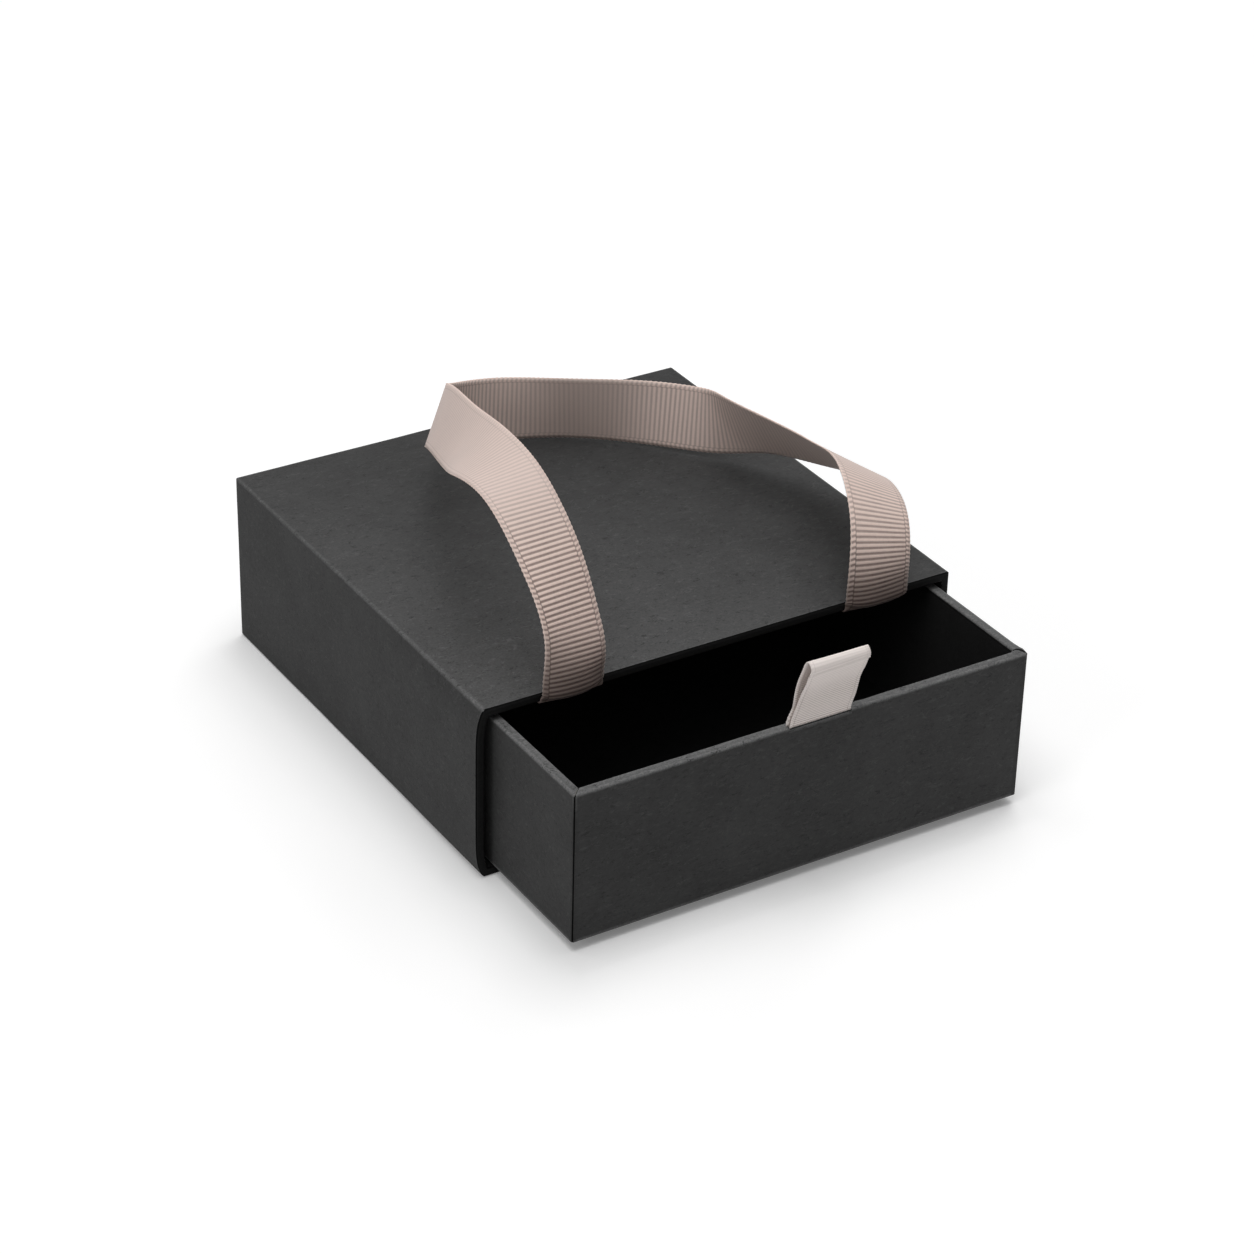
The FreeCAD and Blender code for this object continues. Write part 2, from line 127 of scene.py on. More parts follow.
# %% Helpers for node trees
def add_node(tree, kind, settings=None, **sockets):
    """A node with its settings, and its sockets filled by a value or joined to another socket."""
    made = tree.nodes.new(kind)
    for name, value in (settings or {}).items():
        setattr(made, name, value)
    for name, value in sockets.items():
        socket = made.inputs[int(name[1:])] if name[1:].isdigit() else made.inputs[name]
        if isinstance(value, bpy.types.NodeSocket):
            tree.links.new(value, socket)
        else:
            socket.default_value = value
    return made


def math_node(tree, operation, *values, clamp=False):
    """One step of arithmetic between sockets or numbers."""
    return add_node(tree, "ShaderNodeMath", {"operation": operation, "use_clamp": clamp},
                    **{f"_{i}": value for i, value in enumerate(values)}).outputs[0]


def times(tree, first, second, clamp=False):
    """Two values multiplied."""
    return math_node(tree, "MULTIPLY", first, second, clamp=clamp)


def times_plus(tree, value, factor, more, clamp=False):
    """A value multiplied, and then more added."""
    return math_node(tree, "MULTIPLY_ADD", value, factor, more, clamp=clamp)


def mix_colour(tree, share, first, second):
    """A colour between two others."""
    return add_node(tree, "ShaderNodeMix", {"data_type": "RGBA"},
                    _0=share, _6=first, _7=second).outputs[2]


def stored(tree, name):
    """A value that is stored under this name on the piece's points."""
    return add_node(tree, "ShaderNodeAttribute", {"attribute_name": name}).outputs["Fac"]


def grey(value, warmth=0.0):
    """A grey, a little warm or cool."""
    return (value * (1 + warmth), value, value * (1 - warmth), 1)


def new_finish(name, roughness, specular):
    """A material whose shader has a constant roughness and gloss."""
    material = bpy.data.materials.new(name)
    material.use_nodes = True
    shader = material.node_tree.nodes["Principled BSDF"]
    shader.inputs["Roughness"].default_value = roughness
    shader.inputs["Specular IOR Level"].default_value = specular
    return material, material.node_tree, shader


def fill_finish(tree, shader, colour, height, strength, relief):
    """Join a colour and a bump of this height to the shader."""
    tree.links.new(colour, shader.inputs["Base Color"])
    bump = add_node(tree, "ShaderNodeBump", Strength=strength, Distance=relief, Height=height)
    tree.links.new(bump.outputs[0], shader.inputs["Normal"])


# %% [markdown]
# ## Floor, background and light
# The box stands on a white sweep, with only a soft shadow round its foot. A white floor that is lit
# at a plain level renders as light grey, so what the camera and reflections see of the floor gets
# some white of its own: a little less close to the box, which is painted shade that keeps the
# shadow round its foot deeper, and nothing but white far away, where the sweep meets the
# background.

# %% The floor
def seen_directly(tree):
    """1 for a ray from the camera, a reflection or a refraction, and 0 for light that fills in."""
    path = add_node(tree, "ShaderNodeLightPath").outputs
    either = math_node(tree, "MAXIMUM", path["Is Camera Ray"], path["Is Glossy Ray"])
    return math_node(tree, "MAXIMUM", either, path["Is Transmission Ray"])


FLOOR_SIZE, FLOOR_COLOUR = 8, 0.9
# less glow near the box: painted shade round its foot
NEAR_GLOW, FAR_GLOW, GLOW_REACH, GLOW_CURVE = 0.15, 0.25, 20 * MM, 0.6
WHITE_FROM, WHITE_TO = 0.35, 1.1  # m from the middle of the floor

bpy.ops.mesh.primitive_plane_add(size=FLOOR_SIZE)
floor = bpy.context.object
floor.name = "floor"
floor_finish = bpy.data.materials.new("white_floor")
floor_finish.use_nodes = True
tree = floor_finish.node_tree
tree.nodes.clear()
seen = seen_directly(tree)
place = add_node(tree, "ShaderNodeTexCoord").outputs["Object"]
half = (cad_high - cad_low) / 2
gap = place  # becomes the distance from the box's foot, step by step
for operation, other in (("SUBTRACT", cad_low + half), ("ABSOLUTE", (0, 0, 0)), ("SUBTRACT", half),
                         ("MAXIMUM", (0, 0, 0)), ("MULTIPLY", (1, 1, 0)), ("LENGTH", (0, 0, 0))):
    step = add_node(tree, "ShaderNodeVectorMath", {"operation": operation}, _0=gap, _1=other)
    gap = step.outputs["Value" if operation == "LENGTH" else 0]
share = math_node(tree, "POWER", math_node(tree, "DIVIDE", gap, GLOW_REACH, clamp=True),
                  GLOW_CURVE)
level_glow = times_plus(tree, share, FAR_GLOW - NEAR_GLOW, NEAR_GLOW)
diffuse = add_node(tree, "ShaderNodeBsdfDiffuse", Color=grey(FLOOR_COLOUR))
glow = add_node(tree, "ShaderNodeEmission", Color=grey(1), Strength=times(tree, seen, level_glow))
both = add_node(tree, "ShaderNodeAddShader", _0=diffuse.outputs[0], _1=glow.outputs[0])
away = add_node(tree, "ShaderNodeVectorMath", {"operation": "LENGTH"}, _0=place).outputs["Value"]
far_off = add_node(tree, "ShaderNodeMapRange", Value=away,
                   **{"From Min": WHITE_FROM, "From Max": WHITE_TO}).outputs[0]
white = add_node(tree, "ShaderNodeEmission", Color=grey(1))
swept = add_node(tree, "ShaderNodeMixShader", _0=times(tree, far_off, seen), _1=both.outputs[0],
                 _2=white.outputs[0])
add_node(tree, "ShaderNodeOutputMaterial", Surface=swept.outputs[0])
floor.data.materials.append(floor_finish)
print("floor:", FLOOR_SIZE, "m wide, white from", WHITE_TO, "m on")

# %% [markdown]
# Light from all round would hide the ribs and the folds, so the world gives only a low level, and
# white to what looks at it directly. Three large lamps overhead do most of the lighting. Three
# weaker ones lower down, at the left, at the right and behind, give each side its own tone.

# %% World and lamps
AMBIENT = 0.155
world = bpy.context.scene.world or bpy.data.worlds.new("studio")
bpy.context.scene.world = world
world.use_nodes = True
tree = world.node_tree
tree.nodes.clear()
strength = times_plus(tree, seen_directly(tree), 1 - AMBIENT, AMBIENT)
sky = add_node(tree, "ShaderNodeBackground", Color=grey(1), Strength=strength)
add_node(tree, "ShaderNodeOutputWorld", Surface=sky.outputs[0])

LAMPS = (  # place in m, size in m, power in W
    ((0.03, 0, 2.0), 0.7, 7.2),
    ((0.54, 0.31, 1.9), 0.9, 8.0),
    ((-0.54, -0.31, 1.9), 1.1, 11.2),
    ((-1.71, -0.46, 0.94), 0.7, 4.2),
    ((1.11, 0.64, 1.53), 0.7, 3.0),
    ((0.88, 1.53, 0.94), 0.7, 2.4),
)
for place, width, power in LAMPS:
    bpy.ops.object.light_add(type="AREA", location=place)
    lamp = bpy.context.object
    lamp.data.size = width
    lamp.data.energy = power
    lamp.rotation_euler = Vector(place).to_track_quat("Z", "Y").to_euler()
print("lamps:", len(LAMPS), "and an ambient level of", AMBIENT)

# %% [markdown]
# ## Paper
# The wrap is uncoated dark paper. Close up it isn't one grey: it clouds slowly over a few
# millimetres, short fibres lie in it, and where it is pulled over a board's edge the surface is
# rubbed lighter. The first two come from noise in object coordinates, stretched along the fibres,
# because noise has no seams where the paper turns a corner.

# %% Helpers for paper
def object_mm(tree, stretch=(1, 1, 1)):
    """Object coordinates in millimetres, drawn out along an axis where its stretch is under 1."""
    place = add_node(tree, "ShaderNodeTexCoord").outputs["Object"]
    return add_node(tree, "ShaderNodeMapping", Vector=place,
                    Scale=[share / MM for share in stretch]).outputs[0]


def noise_at(tree, where, scale, detail=2, roughness=0.5):
    """Noise between 0 and 1, of this scale per millimetre."""
    return add_node(tree, "ShaderNodeTexNoise", Vector=where, Scale=scale, Detail=detail,
                    Roughness=roughness).outputs[0]


def between(tree, value, low, high):
    """0 at low, 1 at high, and even in between."""
    return add_node(tree, "ShaderNodeMapRange", Value=value,
                    **{"From Min": low, "From Max": high}).outputs[0]


HAIR_HALF, HAIR_TWIST, HAIR_PATCHES = 0.045, 1.4, (0.52, 0.6)


def hairs(tree, where, scale, seed):
    """Short wavy fibres: where a twisted noise passes its middle value, here and there."""
    shifted = add_node(tree, "ShaderNodeMapping", Vector=where,
                       Location=(seed, 2 * seed, 3 * seed))
    noise = add_node(tree, "ShaderNodeTexNoise", Vector=shifted.outputs[0], Scale=scale, Detail=1,
                     Distortion=HAIR_TWIST).outputs[0]
    off = math_node(tree, "ABSOLUTE", math_node(tree, "SUBTRACT", noise, 0.5))
    line = between(tree, off, HAIR_HALF, 0.0)
    patch = between(tree, noise_at(tree, shifted.outputs[0], scale * 0.9, 1), *HAIR_PATCHES)
    return times(tree, line, patch)


# %% [markdown]
# All the papers share one recipe. Clouds, fibres, grains and hairs together say how far the tone
# goes from dark to light. The paler rubbed tone follows a value named `wear_and_shade` that the
# modelling below stores on each piece's points: wear on the edges and the rim, and on the sleeve's
# top a paleness that fades towards the right, as painted shade. It breaks up along the hairs, as on
# real paper.

# %% Dark paper and black lining
CLOUD_SHARE, FIBRE_SHARE, GRAIN_SHARE = 0.36, 0.29, 0.17  # of the way from dark to light
PALE_SHARE, DEEP_SHARE = 0.45, -0.4
RUB_EVEN, RUB_PATCHY, RUB_HAIRS = 0.45, 0.65, 0.55
HAIR_HEIGHT, FIBRE_HEIGHT = 0.8, 0.8
PAPER_BUMP, PAPER_RELIEF = 0.5, 0.06 * MM


def paper(name, dark, light, rubbed, roughness=0.82, specular=0.22):
    """A paper from dark to light, with the tone of its rubbed edges."""
    material, tree, shader = new_finish(name, roughness, specular)
    even, along = object_mm(tree), object_mm(tree, (0.7, 1.1, 1.1))
    lying = object_mm(tree, (0.5, 0.8, 1.2))
    clouds = between(tree, noise_at(tree, even, 0.09, 4, 0.6), 0.3, 0.72)
    fibres = between(tree, noise_at(tree, along, 1.0, 5, 0.7), 0.32, 0.7)
    grains = between(tree, noise_at(tree, even, 2.6, 3, 0.7), 0.3, 0.72)
    pale, deep = hairs(tree, lying, 0.8, 3.7), hairs(tree, lying, 0.9, 11.3)
    tone = times(tree, clouds, CLOUD_SHARE)
    for layer, share in ((fibres, FIBRE_SHARE), (grains, GRAIN_SHARE), (pale, PALE_SHARE)):
        tone = times_plus(tree, layer, share, tone)
    tone = times_plus(tree, deep, DEEP_SHARE, tone, clamp=True)
    hair = math_node(tree, "SUBTRACT", pale, deep)
    patchy = between(tree, noise_at(tree, even, 2.2, 3, 0.7), 0.32, 0.68)
    patchy = times_plus(tree, patchy, RUB_PATCHY, times_plus(tree, hair, RUB_HAIRS, RUB_EVEN))
    pale_share = times(tree, stored(tree, "wear_and_shade"), patchy, clamp=True)
    colour = mix_colour(tree, pale_share, mix_colour(tree, tone, grey(dark), grey(light)), grey(rubbed))
    height = times_plus(tree, fibres, FIBRE_HEIGHT, grains)
    height = times_plus(tree, hair, HAIR_HEIGHT, height)
    fill_finish(tree, shader, colour, height, PAPER_BUMP, PAPER_RELIEF)
    return material


wrap_paper = paper("charcoal_wrap", 0.0215, 0.052, 0.18)
# painted shade: the darker paper of the turned edges, and of the paper inside the sleeve and the
# tray
shaded_rim_paper = paper("charcoal_painted_shade", 0.006, 0.011, 0.015, specular=0.1)
black_paper = paper("black_lining", 0.01, 0.017, 0.02, roughness=0.9, specular=0.12)
tape_paper = paper("black_tape", 0.002, 0.004, 0.005, roughness=0.95, specular=0.05)
print("papers:", [item.name for item in (wrap_paper, shaded_rim_paper, black_paper, tape_paper)])

# %% [markdown]
# ## Grey board
# The boards are pulp, pressed from mixed waste paper. Nothing of them shows in a finished box,
# but a piece that is never seen still gets its own stuff: soft grey with darker and lighter
# flecks, without any direction.

# %% Grey board
board, tree, shader = new_finish("greyboard", 0.95, 0.1)
even = object_mm(tree)
pulp = between(tree, noise_at(tree, even, 0.8, 6, 0.75), 0.35, 0.7)
specks = between(tree, noise_at(tree, even, 3.5, 1), 0.68, 0.74)
colour = mix_colour(tree, pulp, grey(0.27, 0.05), grey(0.4, 0.05))
fill_finish(tree, shader, mix_colour(tree, specks, colour, grey(0.12)), pulp, 0.4, 0.1 * MM)


def give_finish(piece, *materials):
    """The piece's materials, in place of any that it has."""
    piece.data.materials.clear()
    for material in materials:
        piece.data.materials.append(material)


FINISH_OF_SLOT = {"charcoal_paper": wrap_paper, "black_lining": black_paper, "greyboard": board,
                  "black_tape": tape_paper}
paper_and_board = [part for part in frame["record"]["subparts"]
                   if part["material_slot"] in FINISH_OF_SLOT]
for part in paper_and_board:
    give_finish(frame["nodes"][part["node"]], FINISH_OF_SLOT[part["material_slot"]])
print("boards, tapes and sheets of the CAD with their finish:", len(paper_and_board))

# %% [markdown]
# ## Modelling by hand, in code
# The pieces are modelled with the same operators as by hand. An operator works on whatever is
# selected, so these helpers select nothing first, and then only what is meant, by its place.

# %% Helpers for selecting and cutting
def only(piece):
    """Select this object and no other."""
    bpy.ops.object.select_all(action="DESELECT")
    piece.select_set(True)
    bpy.context.view_layer.objects.active = piece


def edit(piece):
    """Select one object and open its mesh."""
    only(piece)
    bpy.ops.object.mode_set(mode="EDIT")


def close():
    """Go back from the mesh to whole objects."""
    bpy.ops.object.mode_set(mode="OBJECT")


def block(name, low, high):
    """A box between two corners, with its place in its mesh."""
    bpy.ops.object.select_all(action="DESELECT")
    bpy.ops.mesh.primitive_cube_add(size=1, location=(low + high) / 2)
    piece = bpy.context.object
    piece.name = piece.data.name = name
    piece.scale = high - low
    bpy.ops.object.transform_apply(location=True, rotation=True, scale=True)
    return piece


def pick(kind, wanted):
    """In edit mode, select only what is wanted: faces by middle and normal, or edges."""
    bpy.ops.mesh.select_mode(type=kind)
    bpy.ops.mesh.select_all(action="DESELECT")
    data = bpy.context.object.data
    mesh = bmesh.from_edit_mesh(data)
    for item in mesh.faces if kind == "FACE" else mesh.edges:
        if kind == "FACE":
            chosen = wanted(item.calc_center_median(), item.normal)
        else:
            chosen = wanted((item.verts[0].co + item.verts[1].co) / 2, item)
        if chosen:
            item.select_set(True)
    mesh.select_flush_mode()
    bmesh.update_edit_mesh(data)


def cut_across(axis, places):
    """In edit mode, cut the whole mesh at these places along x, y or z."""
    bpy.ops.mesh.select_mode(type="FACE")
    for place in places:
        bpy.ops.mesh.select_all(action="SELECT")
        spot = [0, 0, 0]
        spot[axis] = place
        bpy.ops.mesh.bisect(plane_co=spot, plane_no=[float(i == axis) for i in range(3)])


# %% [markdown]
# Each folded cover is a box with one face inset by the wall's thickness, pushed inwards and
# opened, which leaves the turned-in paper. Its sharp edges are rounded, and it gets a thickness.

# %% Helpers for folded paper
def open_with_turn_in(wall, inwards):
    """Open a box at the selected face, and leave an edge that is turned in by this move."""
    bpy.ops.mesh.inset(thickness=wall)
    bpy.ops.mesh.extrude_region_move(TRANSFORM_OT_translate={"value": inwards})
    bpy.ops.mesh.delete(type="FACE")


def assign(slot):
    """In edit mode, give the selected faces the material in this slot."""
    bpy.context.object.active_material_index = slot
    bpy.ops.object.material_slot_assign()


def apply_modifier(piece, kind, **settings):
    """Add a modifier, set it and apply it."""
    only(piece)
    modifier = piece.modifiers.new(kind.lower(), kind)
    for name, value in settings.items():
        setattr(modifier, name, value)
    bpy.ops.object.modifier_apply(modifier=modifier.name)


def reshape(piece, move):
    """Move every point of a mesh to where the function says."""
    for point in piece.data.vertices:
        point.co = move(point.co)


SHARP, SMOOTH_UNDER = math.radians(40), math.radians(50)


def bend_edges(piece, width):
    """Round every sharp edge, as paper rounds that folds over a board."""
    apply_modifier(piece, "BEVEL", width=width, segments=3, limit_method="ANGLE",
                   angle_limit=SHARP, use_clamp_overlap=False)


def thicken(piece, thickness):
    """Give a sheet its thickness, inwards from the outside, and smooth its slight bends."""
    apply_modifier(piece, "SOLIDIFY", thickness=thickness, offset=-1)
    bpy.ops.object.shade_smooth_by_angle(angle=SMOOTH_UNDER)


def portion(value):
    """The value, kept between 0 and 1."""
    return min(max(value, 0), 1)


def spaced(low, high, step):
    """Places between low and high, evenly and about a step apart."""
    count = max(1, round((high - low) / step))
    return [low + (high - low) * i / count for i in range(1, count)]


def tell(piece):
    """Print how large a piece is and how many faces it has."""
    print(piece.name, " x ".join(f"{side / MM:.1f}" for side in piece.dimensions), "mm,",
          len(piece.data.polygons), "faces")


# %% [markdown]
# ## Nothing in paper is quite flat
# A wrapped board wavers by a tenth of a millimetre, because the glue dries unevenly. A displace
# modifier with slow clouds gives every cover this life, and it makes long edges catch the light
# in an uneven line. The wall at the left of the mouth also stands out by nearly 2 mm between its
# corners, as a side does that has nothing to hold it in. Paper, board and tape move out together,
# so the same bow is written once, for all of them.

# %% The sleeve's bow and the waver
sleeve_low, sleeve_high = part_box("sleeve_wrap")
BOW, BOW_REACH, BOW_FULLNESS = 1.9 * MM, 70 * MM, 8
BOW_DEPTHS = 2 * MM, 4 * MM  # all of the bow up to the first depth, and none past the second


def bowed(point):
    """Where a point of the sleeve's left wall goes."""
    up = (point.z - sleeve_low.z) / (sleeve_high.z - sleeve_low.z)
    back = portion((point.y - sleeve_low.y) / BOW_REACH)
    near_wall = portion((sleeve_low.x + BOW_DEPTHS[1] - point.x) / (BOW_DEPTHS[1] - BOW_DEPTHS[0]))
    if near_wall == 0 or not 0 < up < 1:
        return point
    over_height = 1 - abs(2 * up - 1) ** BOW_FULLNESS
    over_depth = (1 + math.cos(math.pi * back)) / 2
    return Vector((point.x - BOW * over_height * over_depth * near_wall, point.y, point.z))


def waver(piece, amount, size=22 * MM):
    """Slow unevenness over the whole surface."""
    clouds = bpy.data.textures.new(piece.name + "_waver", "CLOUDS")
    clouds.noise_scale = size
    apply_modifier(piece, "DISPLACE", texture=clouds, strength=amount, mid_level=0.5,
                   texture_coords="LOCAL")


def rub_edges(piece, low, high, reach, most, also):
    """Store each point's wear_and_shade: most wear on the box's own edges, and more by what also()
    says.
    """
    store = piece.data.attributes.new("wear_and_shade", "FLOAT", "POINT")
    for point, slot in zip(piece.data.vertices, store.data):
        gaps = sorted([*(abs(a - b) for a, b in zip(point.co, low)),
                       *(abs(a - b) for a, b in zip(point.co, high))])
        on_edge = max(0, 1 - gaps[1] / reach)  # an edge is near two sides at once
        slot.value = portion(most * on_edge + also(point.co))


# %% [markdown]
# ## The sleeve's cover
# One sheet of paper is glued round the sleeve, folded over the back, and turned in at the mouth.
# It starts as a cube that is opened at the mouth. Cuts across it give the paper enough points to
# bow and waver with, and a narrow row along each edge for the rubbing. A bevel rounds what the
# paper folds over, and in the end solidify makes it as thick as paper, towards the boards.

# %% Sleeve cover
MOUTH_HALF, TURN_IN, PAPER = 58 * MM, 15 * MM, 0.15 * MM
SLEEVE_BEND, EDGE_ROW = 0.4 * MM, 0.8 * MM
ACROSS_STEP, FRONT_STEP, BACK_STEP, CORNER_STEP = 6 * MM, 5 * MM, 8 * MM, 1.4 * MM
front_part_end = sleeve_low.y + 60 * MM
low_part_end, high_part_start = sleeve_low.z + 10 * MM, sleeve_high.z - 10 * MM

cover = block("sleeve_cover", sleeve_low, sleeve_high)
edit(cover)
pick("FACE", lambda middle, facing: facing.y < -0.9)
open_with_turn_in(-sleeve_low.x - MOUTH_HALF, (0, TURN_IN, 0))
cut_across(0, [*spaced(sleeve_low.x, sleeve_high.x, ACROSS_STEP),
               sleeve_low.x + EDGE_ROW, sleeve_high.x - EDGE_ROW])
cut_across(1, [*spaced(sleeve_low.y, front_part_end, FRONT_STEP),
               *spaced(front_part_end, sleeve_high.y, BACK_STEP),
               sleeve_low.y + EDGE_ROW, sleeve_high.y - EDGE_ROW])
cut_across(2, [*spaced(sleeve_low.z, low_part_end, CORNER_STEP),
               sleeve_low.z + EDGE_ROW, sleeve_high.z - EDGE_ROW,
               *spaced(low_part_end, high_part_start, FRONT_STEP),
               *spaced(high_part_start, sleeve_high.z, CORNER_STEP)])
close()
bend_edges(cover, SLEEVE_BEND)
tell(cover)

# %% [markdown]
# The wear, and the painted shade on the top, are stored while the cover is still straight, because
# their places are easy to name then. After that the wall is bowed, the paper wavers, the turned-in
# part and the mouth's lip get a darker paper, which is painted shade, and the bend round the
# mouth's outer edge gets black.

# %% Rub, bow and colour the sleeve's cover
SHADE_SLOT, BLACK = 1, 2  # material slots; 0 is the wrap
# how much paler the sleeve is; less paleness towards the right of the top is painted shade
SIDES_PALER, MOUTH_PALER, LEFT_PALER = 0.06, 0.26, 0.12
MOUTH_REACH, LEFT_REACH = 100 * MM, 40 * MM
RIGHT_FROM, RIGHT_OVER, RIGHT_PAINTED_SHADE = -5 * MM, 45 * MM, 0.6


def paler_in_places(point):
    """The top is a little paler near the mouth and along the left side; the paleness fades towards
    the right, which is painted shade.
    """
    if point.z < sleeve_high.z - 0.5 * MM:
        return SIDES_PALER
    from_mouth = (point.y - sleeve_low.y) / MOUTH_REACH
    from_left = (point.x - sleeve_low.x) / LEFT_REACH
    less = 1 - RIGHT_PAINTED_SHADE * portion((point.x - RIGHT_FROM) / RIGHT_OVER)
    return MOUTH_PALER * portion(1 - from_mouth) * less + LEFT_PALER * portion(1 - from_left)


def turned_in(middle, facing):
    """The mouth's front faces, and the paper inside it."""
    inside = abs(middle.x) < sleeve_high.x - 0.8 * MM and MM < middle.z < sleeve_high.z - 0.9 * MM
    return facing.y < -0.2 or (middle.y < sleeve_low.y + TURN_IN + MM and inside
                               and not facing.y > 0.5)


rub_edges(cover, sleeve_low, sleeve_high, EDGE_ROW, most=0.45, also=paler_in_places)
reshape(cover, bowed)
waver(cover, 0.16 * MM)
give_finish(cover, wrap_paper, shaded_rim_paper, tape_paper)
edit(cover)
# the mouth's turned edge and the paper inside it get the darker paper: painted shade
pick("FACE", turned_in)
assign(SHADE_SLOT)
pick("FACE", lambda middle, facing: -0.93 < facing.y < -0.2 and middle.y < sleeve_low.y + 0.5 * MM)
assign(BLACK)
close()
thicken(cover, PAPER)
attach(cover, "sleeve")
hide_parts("sleeve_wrap")
tell(cover)

# %% [markdown]
# ## What lies inside the bowed wall
# The left board, its two tapes and the lining have to follow the bow. Each is a copy of its CAD
# part, whose loose triangles are merged and turned back into flat faces, cut finely enough to
# bend, and moved by the same function as the cover.

# %% Bowed board, tapes and lining
MERGE = 0.001 * MM
BOW_STEP, TAPE_STEP, WALL_STEP, TAPE_HEIGHT = 6 * MM, 1.5 * MM, 2.5 * MM, 12 * MM


def bowed_copy(node, name, slot):
    """A copy of a CAD part that follows the wall's bow and takes the part's place."""
    piece = frame["nodes"][node].copy()
    piece.data = piece.data.copy()
    piece.parent = None
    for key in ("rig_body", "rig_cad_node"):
        del piece[key]
    bpy.context.scene.collection.objects.link(piece)
    piece.name = piece.data.name = name
    edit(piece)
    bpy.ops.mesh.select_all(action="SELECT")
    bpy.ops.mesh.remove_doubles(threshold=MERGE)
    bpy.ops.mesh.dissolve_limited(angle_limit=math.radians(1))
    low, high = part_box(node)
    cut_across(1, spaced(low.y, high.y, BOW_STEP))
    cut_across(2, spaced(low.z, high.z, TAPE_STEP if high.z - low.z < TAPE_HEIGHT else WALL_STEP))
    close()
    reshape(piece, bowed)
    give_finish(piece, FINISH_OF_SLOT[slot])
    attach(piece, "sleeve")
    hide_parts(node)
    tell(piece)


for row in (("sleeve_left_board", "sleeve_left_board_bowed", "greyboard"),
            ("sleeve_tape_lower_left", "sleeve_lower_left_tape_bowed", "black_tape"),
            ("sleeve_tape_upper_left", "sleeve_upper_left_tape_bowed", "black_tape"),
            ("sleeve_lining", "sleeve_lining_bowed", "black_lining")):
    bowed_copy(*row)

# %% [markdown]
# ## The tray's cover and its front sheet
# The tray is wrapped in two papers that meet in mitres on the rim and along the front corners,
# where a fine dark gap is left between them. Both start as one box without a bottom, which is
# opened at the top. Extra cuts near the edges give the rubbing rows of points to end on, and
# others outline the slit of the pull tab.

# %% Shape the tray's skin
wrap_low, wrap_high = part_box("tray_wrap")
front_low, front_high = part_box("tray_front_sheet")
tray_low = Vector(map(min, wrap_low, front_low))
tray_high = Vector(map(max, wrap_high, front_high))
TRAY_WALL, TRAY_BEND, TRAY_STEP = 2.3 * MM, 0.45 * MM, 6 * MM
EDGE_ROWS = [gap * MM for gap in (0.8, 1.6, 3, 5)]
TAB_X, TAB_Y = 3 * MM, tray_low.y + 0.65 * MM
SLIT_HALF = Vector((7.9 * MM, 0.52 * MM))
PUCKER = Vector((TAB_X + 10.4 * MM, tray_low.y + 0.75 * MM))
PUCKER_ROWS = [step * MM for step in (-2, -1.2, -0.5, 0, 0.5, 1.2, 2)]

skin = block("tray_cover", tray_low, tray_high)
edit(skin)
pick("FACE", lambda middle, facing: facing.z < -0.9)
bpy.ops.mesh.delete(type="FACE")
pick("FACE", lambda middle, facing: facing.z > 0.9)
open_with_turn_in(TRAY_WALL, (0, 0, -TURN_IN))
cut_across(0, [*spaced(tray_low.x, tray_high.x, TRAY_STEP),
               *(side * (tray_high.x - gap) for side in (-1, 1) for gap in EDGE_ROWS)])
cut_across(1, [*spaced(tray_low.y, tray_high.y, TRAY_STEP),
               *(tray_low.y + gap for gap in EDGE_ROWS)])
cut_across(2, [*spaced(tray_low.z, tray_high.z, TRAY_STEP),
               tray_low.z + EDGE_ROW, tray_high.z - EDGE_ROW])
close()
bend_edges(skin, TRAY_BEND)
edit(skin)
cut_across(0, [*(PUCKER.x + step for step in PUCKER_ROWS),
               TAB_X - SLIT_HALF.x, TAB_X + SLIT_HALF.x])
cut_across(1, [TAB_Y - SLIT_HALF.y, TAB_Y + SLIT_HALF.y])
close()
give_finish(skin, wrap_paper, shaded_rim_paper, black_paper)
tell(skin)

# %% [markdown]
# Where a knife slit ends, and where two papers meet badly in a mitre, the paper lifts a little.
# The rim is the most rubbed part of the box, and palest towards the inside. Both are functions
# of a point's place, and the next step uses them.

# %% How the rim lifts and wears
RIM_DEPTH = 0.6 * MM
CORNER_LIFT = Vector((tray_high.x - 1.2 * MM, tray_low.y + 1.9 * MM))
LIFTS = ((PUCKER, 0.6 * MM, 1.1 * MM), (CORNER_LIFT, 0.8 * MM, 1.1 * MM))  # place, height, reach
RIM_WORN, RIM_WORN_INSIDE = 0.45, 0.45
# how much paler the tray is all over, more so towards the right
ALL_OVER_PALER, RIGHT_PALER, PALER_HALF = 0.05, 0.04, 30 * MM
WEAR_FROM, WEAR_OVER = 0.62 * MM, 0.45 * MM
CORNER_STRIP, CORNER_LESS = 1 * MM, 0.6


def puckered(point):
    """The rim lifts a little at the slit's end and at the right corner's mitre."""
    if point.z < tray_high.z - RIM_DEPTH:
        return point
    lift = sum(height * math.exp(-((point.xy - spot).length / reach) ** 2)
               for spot, height, reach in LIFTS)
    return point + Vector((0, 0, lift))


